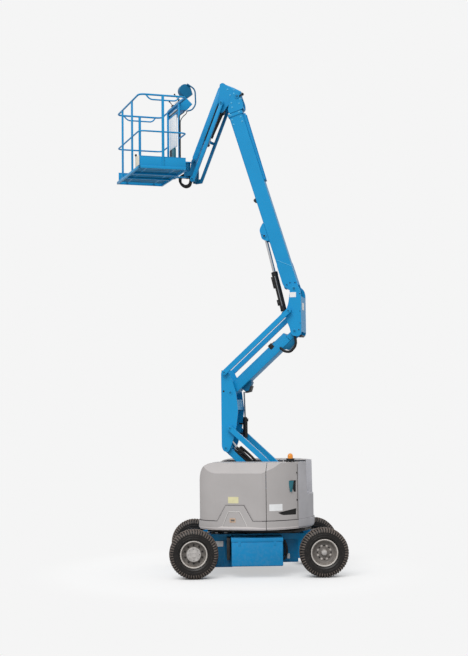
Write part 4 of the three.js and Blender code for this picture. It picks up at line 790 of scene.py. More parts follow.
def paintGrooves(piece):
    # paint shade into the belt's crease, a highlight along the emblem outline, and painted light on the skirt below
    # the belt
    inward = turnPlace.inverted()
    for finish in ("seamAndCreaseShade", "outline", "skirt"):
        piece.data.materials.append(finishes[finish][0])
    flat = [inward @ v.co for v in piece.data.vertices]
    for face in piece.data.polygons:
        spots = [Vector((flat[i].x, flat[i].z)) for i in face.vertices]
        if max(lineDistance(spot, covers["line"]) for spot in spots) < 0.0095:
            face.material_index = 1
        elif max(lineDistance(spot, covers["emblem"], True) for spot in spots) < 0.0075:
            face.material_index = 2
        elif max(spot.y for spot in spots) < covers["skirt"]:
            face.material_index = 3


def buildCoverDetails():
    for node in ("door_near", "door_far", "rear_panel_near", "rear_panel_far"):
        paintGrooves(pieces[node])
    for name, side in flanks.items():
        door, panel = [surfaceOf(f"door_{name}")], [surfaceOf(f"rear_panel_{name}")]
        for piece, finish, spanX, spanZ, options in covers["decals"]:
            trees, body = (door, f"door_{name}") if piece.startswith("door") else (panel, "turntable")
            bm = bmesh.new()
            addDecal(bm, trees, turnPlace, spanX, spanZ, side, **options)
            addPiece(f"{piece}_{name}", bm, body, finish)
        # a light strip along the emblem's edge: painted highlight
        bm = bmesh.new()
        face = (turnPlace.inverted() @ landOn(door, turnPlace, -0.30, 0.735, side)).y + side * 0.0006
        corners = [(x, face, z) for x, z in covers["emblem"]]
        addStrip(bm, [turnPlace @ Vector(corner) for corner in corners], 0.0034, acrossAxis * side, 0.0012)
        addPiece(f"door_outline_highlight_{name}", bm, f"door_{name}", "outline")
        # black linings behind the two openings of the rear panel, bent like it: painted shade inside the openings
        bm = bmesh.new()
        sound = covers["sound"]
        for (start, end), spanZ in covers["openings"]:
            line = [landOn(panel, turnPlace, start + (end - start) * i / 8, sound, side, 0) for i in range(9)]
            rows = [[bm.verts.new(spot + turnPlace.to_3x3() @ Vector((0, -side * depth, z - sound)))
                     for spot in line] for depth in (0.030, 0.034) for z in spanZ]
            ringsToFaces(bm, [[rows[0][i], rows[1][i], rows[3][i], rows[2][i]] for i in range(9)])
            bm.faces.new([rows[0][0], rows[1][0], rows[3][0], rows[2][0]])
            bm.faces.new([rows[2][8], rows[3][8], rows[1][8], rows[0][8]])
        addPiece(f"panel_opening_shade_{name}", bm, "turntable", "black")
        rim = (turnPlace.inverted() @ landOn(panel, turnPlace, 0.60, sound, side)).y
        bm = bmesh.new()
        quad, rear = ([bm.verts.new((x, rim - side * (depth + back), z)) for x, z, depth in covers["reveal"]]
                      for back in (0, 0.003))
        bm.faces.new(quad)
        bm.faces.new(list(reversed(rear)))
        for i in range(4):
            j = (i + 1) % 4
            bm.faces.new((quad[j], quad[i], rear[i], rear[j]))
        addPiece(f"panel_reveal_{name}", bm, "turntable", "teal", turnPlace)
        bm = bmesh.new()
        for z in covers["dots"]:
            spot = landOn(panel + [surfaceOf("counterweight")], turnPlace, covers["seam"] - 0.010, z, side)
            place = alongLine(spot, spot + acrossAxis * side)
            addTurned(bm, [(0, -0.002), (0.014, -0.002), (0.014, 0.004), (0.010, 0.006), (0, 0.006)], place, 20)
        addPiece(f"panel_fasteners_{name}", bm, "turntable", "black", smooth=40)


acrossAxis = Vector((sin(radians(-turnYaw)), cos(radians(turnYaw)), 0))
buildCoverDetails()
print("cover details built")

riser = {
    "arm": 1.340, "half": 0.165,
    "outline": [(0.036, -0.052), (0.036, 0.060), (0.120, 0.105), (1.196, 0.105), (1.206, -0.052)],
    "bracket": [(0.150, -0.048), (0.335, -0.048), (0.325, -0.090), (0.278, -0.114), (0.206, -0.150),
                (0.156, -0.124)],
    "shoe": [(0.150, -0.122), (0.206, -0.150), (0.278, -0.112), (0.284, -0.132), (0.208, -0.176), (0.142, -0.140)],
    "cornerPad": [(0.885, 0.052), (0.955, 0.052), (0.955, 0.128), (0.885, 0.128)],
    "box": [(1.020, -0.046), (1.262, -0.046), (1.225, -0.128), (1.075, -0.136)],
    "hoseLoop": [(1.306, -0.166, -0.010), (1.306, -0.1935, -0.012), (1.262, -0.1935, -0.106),
                 (1.190, -0.1935, -0.172), (1.075, -0.1935, -0.178), (1.018, -0.1935, -0.110),
                 (1.010, -0.1935, -0.040), (1.010, -0.166, -0.030)],
    "welds": (0.36, 0.62, 0.86),
    "lines": (-0.150, -0.120, 0.118, 0.150), "lineClamps": (-1.17, -0.88),
}


def buildUpperArm():
    place = pitchedAt("upper_arm_lift", -stored["riser"])
    half, length = riser["half"], riser["arm"]
    bm = bmesh.new()
    addPrism(bm, riser["outline"], (-half, half), 0.006, 3)
    for x, inwards in ((0, 0.090), (length, -0.160)):
        for side in (-1, 1):
            span = sorted((side * (half - 0.046), side * half))
            addBox(bm, (x, span[0], -0.050), (x + inwards, span[1], 0.044), 0.003)
            addRod(bm, (x, span[0], 0), (x, span[1], 0), 0.052, 40, 0.003)
        addRod(bm, (x, -half + 0.002, 0), (x, half - 0.002, 0), 0.044, 32)
    addPiece("upper_arm_box", bm, "upper_arm", "blue", place, stands=["upper_arm"])
    bm = bmesh.new()
    addPrism(bm, riser["bracket"], (-0.080, 0.080), 0.004)
    addPrism(bm, riser["box"], (-0.158, 0.020), 0.006)
    addPiece("upper_arm_bracket", bm, "upper_arm", "deepBlue", place)
    bm = bmesh.new()
    addPrism(bm, riser["shoe"], (-0.086, 0.086), 0.004)
    for side in (-1, 1):
        addPrism(bm, riser["cornerPad"], sorted((side * 0.122, side * 0.173)), 0.004)
    addPiece("upper_arm_pads", bm, "upper_arm", "black", place)
    bm = bmesh.new()
    addTube(bm, riser["hoseLoop"], 0.019, 0.07, 16)
    addPiece("pivot_hose_loop", bm, "upper_arm", "hose", place, smooth=60, stands=["pivot_hose"])
    bm = bmesh.new()
    for x in riser["welds"]:
        for side in (-1, 1):
            y = side * (half + 0.0002)
            addStrip(bm, [(x, y, 0.100), (x, y, -0.046)], 0.0025, (0, side, 0), 0.0015)
    addPiece("upper_arm_welds", bm, "upper_arm", "blue", place)
    # a second layer of lines over those on the lower arm
    place = pitchedAt("riser_lift", stored["riser"])
    inward = place.inverted()
    top = max((inward @ v.co).z for v in nodes["riser_hoses"].data.vertices)
    bm = bmesh.new()
    rise = top + 0.019
    for i, y in enumerate(riser["lines"]):
        addTube(bm, [(-1.240, y, rise + 0.012 * (i % 2)), (-1.05, y, rise + 0.020),
                     (-0.85, y, rise + 0.004), (-0.62, y, rise)], 0.016, 0.10, 14)
    for x in riser["lineClamps"]:
        for side in (-1, 1):
            addBox(bm, (x - 0.016, side * 0.168, top + 0.002), (x + 0.016, side * 0.104, top + 0.046), 0.003)
    addPiece("riser_hose_layer", bm, "lower_arm", "hose", place, smooth=60)


pivots = {  # pins at (x, z, reach, radius)
    "midPins": [(0, 0, 0.2371, 0.034), (0.080, 0.835, 0.2371, 0.034)],
    "midStubs": [(0.080, 0.303, 0.3022, 0.027), (0, 1.138, 0.3022, 0.027)],
    "upperPins": [(0, 0, 0.2335, 0.034), (0, 0.638, 0.2335, 0.036)],
    "upperStubs": [(-0.080, 0.303, 0.3022, 0.027)],
    "upperBolts": [(0.066, 0.022, 0.2325, 0.016), (0.088, 0.560, 0.2335, 0.014), (0.086, 0.300, 0.2335, 0.010),
                   (0.086, 0.120, 0.2335, 0.010)],
    "stop": [(0.050, -0.064), (0.090, -0.050), (0.095, -0.066), (0.080, -0.082), (0.052, -0.080)],
}


def buildPivots():
    place = levelAt("mid_pivot_level")
    addPins("mid_pivot_pins", "mid_pivot", place, pivots["midPins"], rise=0.0014)
    addPins("mid_pivot_stubs", "mid_pivot", place, pivots["midStubs"], rise=0.0026)
    bm = bmesh.new()
    for side in (-1, 1):
        addRod(bm, (-0.024, side * 0.219, 0.856), (-0.024, side * 0.2325, 0.856), 0.0148, 20)
        addBox(bm, (-0.052, side * 0.234, 1.150), (0.020, side * 0.243, 1.172), 0.002)
    addPiece("mid_pivot_plugs", bm, "mid_pivot", "black", place)
    middle = sum((Vector(corner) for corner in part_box("mid_hose")), Vector()) / 2
    spot = place.inverted() @ middle
    x, y = spot.x + 0.022, spot.y - 0.012
    bm = bmesh.new()
    addRod(bm, (x, y, 0.150), (x, y, 0.430), 0.035, 36, 0.004)
    addRod(bm, (x, y, 0.425), (x, y, 0.462), 0.030, 36, 0.003)
    addRod(bm, (x + 0.030, y - 0.010, 0.18), (x + 0.030, y - 0.010, 0.41), 0.009, 14)
    addBox(bm, (x + 0.010, y - 0.020, 0.395), (x + 0.048, y + 0.012, 0.440), 0.003)
    for z in (0.200, 0.350):
        addBox(bm, (0.120, y - 0.004, z), (x, y + 0.020, z + 0.024), 0.002)
    addPiece("riser_accumulator", bm, "mid_pivot", "black", place, stands=["mid_hose"])
    bm = bmesh.new()
    start, end = place @ Vector((x, y, 0.462)), place @ Vector((x + 0.002, 0.150, 0.845))
    addTube(bm, [start, start.lerp(end, 0.25), start.lerp(end, 0.5), start.lerp(end, 0.75), end],
            0.012, 0.04, 16, steps=4)
    braid = addPiece("riser_braided_line", bm, None, "steel", smooth=60)
    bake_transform(braid)

    place = levelAt("upper_pivot_level")
    addPins("upper_pivot_pins", "upper_pivot", place, pivots["upperPins"], rise=0.0042)
    addPins("upper_pivot_stubs", "upper_pivot", place, pivots["upperStubs"], rise=0.0026)
    addPins("upper_pivot_bolts", "upper_pivot", place, pivots["upperBolts"], rise=0.0042, head="black")
    bm = bmesh.new()
    addPrism(bm, pivots["stop"], (-0.150, 0.150), 0.006)
    addPiece("upper_pivot_stop", bm, "upper_pivot", "black", place)
    bm = bmesh.new()
    addBox(bm, (-0.066, -0.2345, 0.508), (0.030, -0.2331, 0.582), 0.0003, 1)
    addBox(bm, (0.1042, -0.130, 0.322), (0.1054, 0.055, 0.432), 0.0003, 1)
    addPiece("upper_pivot_labels", bm, "upper_pivot", "labelWhite", place)


boom = {
    "bolts": [(-0.105, -0.100, 0.1125, 0.013), (-0.120, -0.045, 0.1125, 0.013), (-0.098, 0.030, 0.1125, 0.013),
              (-0.925, -0.200, 0.1065, 0.026), (-0.958, -0.226, 0.0985, 0.010)],
    "collarBolts": [(-2.872, 0.020), (-2.872, -0.120)],
    "padBolts": [(-2.795, 0.020), (-2.795, -0.120), (-2.720, 0.020), (-2.720, -0.120)],
    "weld": [(-0.503, 0.1005, -0.122), (-0.480, 0.1125, -0.096), (-0.351, 0.1125, 0.055)],
    "trayClamps": (-2.9, -1.75),
    "headPin": [(-3.117, 0.062, 0.1125, 0.036)],
    "headBolts": [(-3.175, 0.030), (-3.060, 0.095), (-3.000, 0.060), (-2.980, -0.060), (-3.050, -0.050)],
    "knob": [(0, 0), (0.016, 0.002), (0.023, 0.012), (0.023, 0.022), (0.014, 0.034), (0, 0.036)],
}


def buildBoomDetails():
    place = pitchedAt("boom_lift", stored["boom"])
    addPins("boom_bolts", "primary_boom", place, boom["bolts"], head="black")
    bm = bmesh.new()
    addSideBolts(bm, boom["collarBolts"], 0.112, 0.015)
    addSideBolts(bm, boom["padBolts"], 0.100, 0.014)
    for k in range(4):
        addBolt(bm, (-1.80 - k * 0.32, -0.052, 0.0615), (0, 0, 1), 0.010)
    # the bolts take the lighter blue as a painted highlight
    addPiece("boom_wear_bolts", bm, "primary_boom", "seam", place, smooth=30)
    bm = bmesh.new()
    for side in (-1, 1):
        addTube(bm, [(x, side * y, z) for x, y, z in boom["weld"]], 0.0035, 0.01, 8)
    addPiece("boom_weld", bm, "primary_boom", "seam", place, smooth=60)
    bm = bmesh.new()
    for x in boom["trayClamps"]:
        addBox(bm, (x - 0.008, -0.058, 0.0575), (x + 0.008, 0.058, 0.082), 0.002)
    addPiece("boom_tray_clamps", bm, "primary_boom", "deepBlue", place)
    # the head at the end of the inner tube
    addPins("boom_head_pin", "extension_boom", place, boom["headPin"], rise=0.006)
    bm = bmesh.new()
    addSideBolts(bm, boom["headBolts"], 0.106, 0.013)
    addPiece("boom_head_bolts", bm, "extension_boom", "seam", place, smooth=30)
    bm = bmesh.new()
    addRod(bm, (-3.100, -0.119, 0.100), (-3.112, -0.119, 0.150), 0.012, 16)
    addTurned(bm, boom["knob"], Matrix.Translation((-3.112, -0.119, 0.140)), 20)
    addPiece("boom_head_knob", bm, "extension_boom", "black", place, smooth=50)


jib = {
    "length": 1.248,
    "upper": {"half": 0.060, "low": -0.028, "high": 0.054, "round": 0.042},
    "near": {"lane": (-0.150, -0.100), "low": -0.040, "high": 0.018, "round": 0.038},
    "far": {"lane": (0.105, 0.145), "offset": -0.073, "half": 0.023, "round": 0.036},
    "hoses": ((-0.082, -0.042), (-0.080, -0.060)),
    "hoseClamps": (-0.37, -0.62, -0.86),
    "cover": [(-0.215, 0.215), (-0.050, 0.140), (0.062, 0.078), (0.045, 0.020), (-0.190, 0.020)],
    "coverBolts": [(-0.150, 0.120), (-0.110, 0.030), (-0.045, 0.110)],
}


def addJibEnds(bm, lane, radius):
    for x in (0, -jib["length"]):
        addRod(bm, (x, lane[0], 0), (x, lane[1], 0), radius, 40, 0.003)


def buildJib():
    length = jib["length"]
    upper, near, far = jib["upper"], jib["near"], jib["far"]
    place = pitchedAt("jib_upper_arm_lift", stored["jib"])
    bm = bmesh.new()
    addPrism(bm, [(-0.02, upper["low"]), (-0.02, upper["high"] - 0.014), (-0.06, upper["high"]),
                  (-length + 0.06, upper["high"]), (-length + 0.02, upper["high"] - 0.014),
                  (-length + 0.02, upper["low"])], (-upper["half"], upper["half"]), 0.006, 3)
    addJibEnds(bm, (-upper["half"], upper["half"]), upper["round"])
    addPiece("jib_upper_tube", bm, "jib_upper_arm", "blue", place, stands=["jib_upper_arm"])
    bm = bmesh.new()
    for y, z in jib["hoses"]:
        addTube(bm, [(-0.330, y, z), (-0.58, y - 0.004, z - 0.003), (-0.76, y + 0.002, z), (-0.880, y, z)],
                0.0105, 0.08, 12)
    for x in jib["hoseClamps"]:
        addBox(bm, (x - 0.012, -0.092, -0.076), (x + 0.012, -0.058, -0.036), 0.002)
    addPiece("jib_hose_run", bm, "jib_upper_arm", "hose", place, smooth=60, stands=["jib_hoses"])
    place = pitchedAt("jib_lift", stored["jib"])
    bm = bmesh.new()
    addPrism(bm, [(0, near["low"] + 0.004), (0, near["high"]), (-length, near["high"]),
                  (-length, near["low"] + 0.004)], near["lane"], 0.005, 3)
    addJibEnds(bm, (near["lane"][0] + 0.0004, near["lane"][1] - 0.0004), near["round"])
    for side in (-1, 1):
        addRod(bm, (-0.600, side * 0.046, 0), (-0.600, side * 0.108, 0), 0.024, 32)
    addPiece("jib_lower_plate", bm, "jib_lower_arm", "blue", place, stands=["jib_lower_arm"])
    bm = bmesh.new()
    low, high = far["offset"] - far["half"], far["offset"] + far["half"]
    addPrism(bm, [(-0.010, low), (0.034, -0.012), (-0.030, 0.020), (-0.060, high), (-length + 0.060, high),
                  (-length + 0.030, 0.020), (-length - 0.034, -0.012), (-length + 0.010, low)],
             far["lane"], 0.005, 3)
    addJibEnds(bm, (far["lane"][0] - 0.0004, far["lane"][1] + 0.0004), far["round"])
    addBox(bm, (-0.620, far["lane"][0] + 0.001, low + 0.01), (-0.580, far["lane"][1] - 0.001, 0.020), 0.004)
    # the far bar takes the darker blue as painted shade
    addPiece("jib_lower_bar", bm, "jib_lower_arm", "paintedShadeBlue", place)
    addPins("jib_arm_pins", "jib_lower_arm", place, [(0, 0, 0.1535, 0.026), (-length, 0, 0.1535, 0.026)], (-1,))
    place = levelAt("jib_level")
    bm = bmesh.new()
    addPrism(bm, jib["cover"], (-0.0835, 0.0835), 0.010, 3)
    addPiece("jib_knuckle_cover", bm, "jib_knuckle", "blue", place)
    bm = bmesh.new()
    addSideBolts(bm, jib["coverBolts"], 0.0838, 0.013)
    addPiece("jib_knuckle_bolts", bm, "jib_knuckle", "seam", place, smooth=30)
    mount = levelAt("platform_level")
    bm = bmesh.new()
    for y, drop in ((-0.020, 0.0), (0.022, 0.012)):
        addTube(bm, [(-0.130, y, 0.110), (-0.232, y, 0.060), (-0.226, y, -0.030 - drop), (-0.150, y, -0.086 - drop),
                     (-0.078, y, -0.070 - drop), (-0.056, y, 0.000), (-0.064, y, 0.066)], 0.019, 0.08, 16)
    addPiece("mount_hoses", bm, "platform_mount", "hose", mount, smooth=60)
    bm = bmesh.new()
    addRod(bm, (-0.110, 0, 0.060), (-0.110, 0, 0.034), 0.030, 32, 0.004)
    addPiece("mount_coupler", bm, "platform_mount", "black", mount, smooth=40)


buildUpperArm()
buildPivots()
buildBoomDetails()
buildJib()
print("riser, boom and jib pieces built")

deck = {
    "rear": -0.22, "front": -0.94, "side": 0.705, "rail": 1.103, "railRadius": 0.014, "mid": 0.556,
    "midRadius": 0.012, "corner": 0.09, "post": 0.019, "gate": (-0.255, 0.365), "rearPosts": 0.316,
    "toe": 0.185, "slats": 11, "slatPitch": 0.12, "slatHalf": 0.034,
}


def buildRails():
    rear, front, side = deck["rear"], deck["front"], deck["side"]
    bm = bmesh.new()
    z = deck["rail"]
    addTube(bm, [(rear, -side, z), (front, -side, z), (front, side, z), (rear, side, z)],
            deck["railRadius"], deck["corner"], closed=True)
    z = deck["mid"]
    addTube(bm, [(rear, -deck["rearPosts"], z), (rear, -side, z), (front, -side, z), (front, deck["gate"][0], z)],
            deck["midRadius"], deck["corner"])
    addTube(bm, [(front, deck["gate"][1], z), (front, side, z), (rear, side, z), (rear, deck["rearPosts"], z)],
            deck["midRadius"], deck["corner"])
    top = deck["rail"]
    for y in (-side, side):
        addTube(bm, [(rear - 0.098, y, top), (rear - 0.154, y, top - 0.072),
                     (front + 0.165, y, top - 0.072), (front + 0.098, y, top)], 0.011, 0.045)
    addDeckPiece("platform_rails", bm, "blue", smooth=50, stands=["platform_frame"])
    bm = bmesh.new()
    half, post = 0.013, deck["post"]
    for x, y in ((front, deck["gate"][0]), (front, deck["gate"][1]),
                 (rear, -deck["rearPosts"]), (rear, deck["rearPosts"])):
        addBox(bm, (x - half, y - post, 0.003), (x + half, y + post, deck["rail"] - 0.006), 0.003)
    middle = (rear + front) / 2
    for y in (-side, side):
        addBox(bm, (middle - post, y - 0.012, 0.003), (middle + post, y + 0.012, deck["rail"] - 0.006), 0.003)
    for x in (rear, front):
        addBox(bm, (x - 0.014, -side - 0.014, 0.0), (x + 0.014, side + 0.014, 0.040), 0.003)
    for y in (-side, side):
        addBox(bm, (front - 0.014, y - 0.014, 0.0), (rear + 0.014, y + 0.014, 0.040), 0.003)
        addBox(bm, (front + 0.012, y - 0.003, 0.002), (rear - 0.012, y + 0.003, deck["toe"]), 0.0012)
        addBox(bm, (front + 0.012, y - 0.006, deck["toe"] - 0.008), (rear - 0.012, y + 0.006, deck["toe"]), 0.002)
    for y in (-0.2, 0.2):
        addBox(bm, (front, y - 0.02, 0.0), (rear, y + 0.02, 0.026), 0.003)
    addBox(bm, (rear - 0.004, -0.076, 0.0), (rear + 0.040, 0.076, 0.300), 0.004)
    clasp = [(rear + 0.02, -0.052), (0.02, -0.052), (0.037, -0.048), (0.048, -0.037), (0.052, -0.02), (0.052, 0.02),
             (0.048, 0.037), (0.037, 0.048), (0.02, 0.052), (rear + 0.02, 0.052)]
    for low, high in ((0.246, 0.266), (0.014, 0.028)):
        part = bmesh.new()
        addPrism(part, [(x, -y) for x, y in clasp], (low, high), 0.002)
        mergePart(bm, part, turned(90, "X"))
    addDeckPiece("platform_posts", bm, "blue")


def buildFloor():
    bm = bmesh.new()
    rear, front = deck["rear"], deck["front"]
    for i in range(deck["slats"]):
        y = (i - (deck["slats"] - 1) / 2) * deck["slatPitch"]
        half = deck["slatHalf"]
        addBox(bm, (front + 0.017, y - half, 0.0315), (rear - 0.017, y + half, 0.036), 0.001, 1)
        for edge in (-1, 1):
            lip = y + edge * (half - 0.0015)
            addBox(bm, (front + 0.018, lip - 0.0015, 0.0275), (rear - 0.018, lip + 0.0015, 0.034), 0.0005, 1)
    for share in (-0.3, 0.3):
        x = (front + rear) / 2 + share * (rear - front)
        addBox(bm, (x - 0.014, -deck["side"] + 0.015, 0.027), (x + 0.014, deck["side"] - 0.015, 0.0318), 0.001, 1)
    addDeckPiece("platform_slats", bm, "blue", stands=["platform_floor"])
    bm = bmesh.new()
    for i in range(deck["slats"]):  # raised grip dots in two rows on each slat
        y = (i - (deck["slats"] - 1) / 2) * deck["slatPitch"]
        for row in (-0.017, 0.017):
            for k in range(12):
                x = front + 0.045 + k * (rear - front - 0.09) / 11 + (0.012 if row > 0 else 0)
                place = Matrix.Translation((x, y + row, 0.0355))
                addTurned(bm, [(0.009, 0), (0.0075, 0.0022), (0.0045, 0.0026), (0.003, 0.0008), (0, 0.0006)],
                          place, 8)
    addDeckPiece("platform_grip", bm, "blue")
    bm = bmesh.new()
    for i in range(deck["slats"] - 1):  # dark sheets that close the gaps between the slats: painted shade in the slatted floor
        y = (i - (deck["slats"] - 2) / 2) * deck["slatPitch"]
        half = (deck["slatPitch"] - 2 * deck["slatHalf"]) / 2 + 0.002
        addBox(bm, (front + 0.018, y - half, 0.0318), (rear - 0.018, y + half, 0.0332), 0)
    addDeckPiece("platform_gap_shade", bm, "teal")


console = {
    "half": 0.33,
    "face": [(-0.204, 1.1175), (-0.2275, 1.1175), (-0.2275, 1.127), (-0.126, 1.2115), (-0.0065, 1.1),
             (-0.0955, 1.0025), (-0.204, 0.9935)],
    "cover": {"x": -0.116, "z": 1.312, "radius": 0.093, "span": (-0.330, -0.212),
              "end": ((0.0, 1.252), (-0.092, 1.186))},
    "guard": [(-0.094, 0.985), (-0.020, 1.006), (0.040, 1.090), (0.032, 1.330), (-0.094, 1.404)],
    "guardY": -0.3414,
    "joysticks": ((-0.20, 0.130), (0.16, 0.100)),  # across, and how tall
    "bellows": [(0, 0), (0.024, 0), (0.024, 0.004), (0.019, 0.007), (0.021, 0.011), (0.015, 0.014),
                (0.017, 0.018), (0.010, 0.021), (0.006, 0.024)],
    "grip": [(0.006, -0.022), (0.012, -0.018), (0.014, -0.006), (0.009, 0), (0, 0)],
    "toggle": [(0, 0), (0.006, 0), (0.006, 0.003), (0.003, 0.004), (0.0022, 0.014), (0.0034, 0.018), (0, 0.019)],
    "stop": [(0, 0), (0.012, 0), (0.012, 0.008), (0.019, 0.010), (0.020, 0.018), (0.014, 0.023), (0, 0.024)],
    "socket": [(0, 0), (0.026, 0), (0.026, 0.004), (0, 0.006)],
    "knob": [(0, -0.018), (0.012, -0.014), (0.018, 0), (0.012, 0.014), (0, 0.018)],
    "cables": [
        [(-0.090, -0.300, 0.998), (-0.098, -0.318, 0.955), (-0.165, -0.332, 0.895), (-0.206, -0.338, 0.830),
         (-0.208, -0.338, 0.30), (-0.208, -0.338, 0.20)],
        [(-0.125, -0.280, 0.998), (-0.140, -0.300, 0.965), (-0.185, -0.3385, 0.935), (-0.222, -0.342, 0.900),
         (-0.222, -0.342, 0.20)],
    ],
}


def onPanel(x, y):  # a place on the operator's panel, its z axis outwards
    return Matrix.Translation((x, y, -0.003)) @ turned(180, "X")


def buildConsole():
    bm = bmesh.new()
    addPrism(bm, console["face"], (-console["half"], console["half"]), 0.006, 3)
    addDeckPiece("console_body", bm, "blue", stands=["control_console"])
    # the operator's panel lies on the slope towards the platform
    low, high = (Vector((x, 0, z)) for x, z in console["face"][2:4])
    along = (high - low).normalized()
    out = Vector((-along.z, 0, along.x))
    panel = Matrix.Translation(low) @ Matrix((along, (0, 1, 0), -out)).transposed().to_4x4()
    length = (high - low).length
    bm = bmesh.new()
    addBox(bm, (0.008, -0.300, -0.0035), (length - 0.008, 0.300, -0.0002), 0.001)
    addDeckPiece("console_panel", bm, "black", deckPlace @ panel)
    bm = bmesh.new()
    for y in (-0.322, 0.322):
        addBox(bm, (0.006, y - 0.007, -0.005), (length - 0.006, y + 0.007, -0.0002), 0.001)
    addBox(bm, (0.030, -0.270, -0.0050), (0.052, 0.270, -0.0036), 0.0005, 1)
    addDeckPiece("console_strips", bm, "labelWhite", deckPlace @ panel)
    bm = bmesh.new()
    for y, tall in console["joysticks"]:
        grip = [(radius, tall + along) for radius, along in console["grip"]]
        addTurned(bm, console["bellows"] + grip, onPanel(0.066, y), 20)
    for k in range(7):
        addTurned(bm, console["toggle"], onPanel(0.094, -0.12 + k * 0.036), 10)
    addDeckPiece("console_switches", bm, "black", deckPlace @ panel)
    bm = bmesh.new()
    addTurned(bm, console["stop"], onPanel(0.090, 0.25), 24)
    addDeckPiece("console_stop", bm, "red", deckPlace @ panel)
    spec = console["cover"]
    rim = [(spec["x"] + spec["radius"] * cos(a), spec["z"] + spec["radius"] * sin(a))
           for a in (radians(d) for d in range(18, 236, 9))]
    rim += [spec["end"][1], spec["end"][0]]
    bm = bmesh.new()
    addPrism(bm, rim, spec["span"], 0.008, 4)
    addDeckPiece("console_hood", bm, "deepBlue", smooth=40, stands=["console_cover"])
    bm = bmesh.new()
    addTube(bm, [(x, console["guardY"], z) for x, z in console["guard"]], 0.011, 0.06)
    addDeckPiece("console_guard_tube", bm, "deepBlue", smooth=50, stands=["console_guard"])
    bm = bmesh.new()
    back = deck["rear"] + deck["railRadius"] + 0.0004
    addBox(bm, (back, -0.07, 0.489), (back + 0.028, 0.285, 0.988), 0.006, 3)
    addBox(bm, (back + 0.0275, -0.055, 0.60), (back + 0.0298, 0.270, 0.976), 0.001)
    addDeckPiece("document_holder", bm, "whitePlastic", stands=["document_box"])
    bm = bmesh.new()
    addBox(bm, (back, 0.045, 0.330), (back + 0.038, 0.165, 0.488), 0.005, 3)
    addDeckPiece("socket_housing", bm, "teal")
    bm = bmesh.new()
    addBox(bm, (back, 0.166, 0.330), (back + 0.038, 0.285, 0.488), 0.005, 3)
    for z in (0.37, 0.44):
        place = Matrix.Translation((back + 0.034, 0.225, z)) @ turned(90, "Y")
        addTurned(bm, console["socket"], place, 24)
    addDeckPiece("socket_covers", bm, "black")
    bm = bmesh.new()
    addBox(bm, (-0.2056, -0.130, 1.046), (-0.2042, 0.285, 1.060), 0.0003, 1)
    addStrip(bm, [(-0.2200, -0.3309, 1.098), (-0.1230, -0.3309, 1.184)], 0.005, (0, -1, 0), 0.0015)
    addDeckPiece("console_lines", bm, "labelWhite")
    bm = bmesh.new()
    addBox(bm, (-0.2056, -0.290, 1.018), (-0.2042, 0.290, 1.040), 0.0003, 1)
    addStrip(bm, [(-0.2135, -0.3309, 1.090), (-0.1165, -0.3309, 1.176)], 0.005, (0, -1, 0), 0.0015)
    addDeckPiece("console_bands", bm, "black")
    bm = bmesh.new()
    for cable, radius in zip(console["cables"], (0.0065, 0.006)):
        addTube(bm, cable, radius, 0.05, 12)
    addDeckPiece("console_cables", bm, "hose", smooth=60)
    bm = bmesh.new()
    front = deck["front"]
    addBox(bm, (front - 0.014, -0.700, 0.042), (front - 0.001, -0.525, 0.190), 0.005, 3)
    addDeckPiece("lanyard_housing", bm, "cream")
    bm = bmesh.new()
    addTurned(bm, console["knob"], Matrix.Translation((front - 0.004, -0.500, 0.226)), 20)
    addRod(bm, (front - 0.004, -0.500, 0.212), (front - 0.004, -0.500, 0.040), 0.006, 12)
    addDeckPiece("lanyard_knob", bm, "black", smooth=50)


def buildEntry():
    bm = bmesh.new()
    front, z = deck["front"], deck["mid"]
    low, high = deck["gate"][0] + deck["post"] + 0.0085, deck["gate"][1] - deck["post"] - 0.0085
    addRod(bm, (front, low, z), (front, high, z), 0.012, 20, 0.002)
    for y in (low + 0.012, high - 0.012):
        addRod(bm, (front, y - 0.010, z), (front, y + 0.010, z), 0.0145, 20, 0.002)
    addPiece("entry_bar", bm, "entry_rail", "blue", deckPlace, smooth=40, stands=["entry_rail"])


buildRails()
buildFloor()
buildConsole()
buildEntry()
print("platform built")

valves = {"lift": ((0.30, 0.46), (0.86, 0.97)), "boom": ((0.42, 0.60), (0.15, 0.24)), "jib": ((0.14, 0.20),)}
cylinders = {
    "lift": {"radius": 0.048, "length": 1.080, "rod": 0.027, "pin": 0.025, "half": 0.052, "rodPin": 0.022,
             "rodHalf": 0.040, "tail": 0.970, "sideTube": 1},
    "boom": {"radius": 0.046, "length": 0.665, "rod": 0.024, "pin": 0.025, "half": 0.052, "rodPin": 0.020,
             "rodHalf": 0.040, "tail": 0.640, "sideTube": 1},
    "jib": {"radius": 0.030, "length": 0.440, "rod": 0.016, "pin": 0.020, "half": 0.050, "rodPin": 0.016,
            "rodHalf": 0.038, "tail": 0.340, "sideTube": 0},
}


def addEye(bm, middle, half, ring, bore=0):
    wide = half * 2
    profile = [(bore, 0), (ring - 0.002, 0), (ring, 0.002), (ring, wide - 0.002), (ring - 0.002, wide), (bore, wide)]
    place = alongLine(middle - acrossAxis * half, middle + acrossAxis * half)
    addTurned(bm, profile + (profile[:1] if bore else []), place)


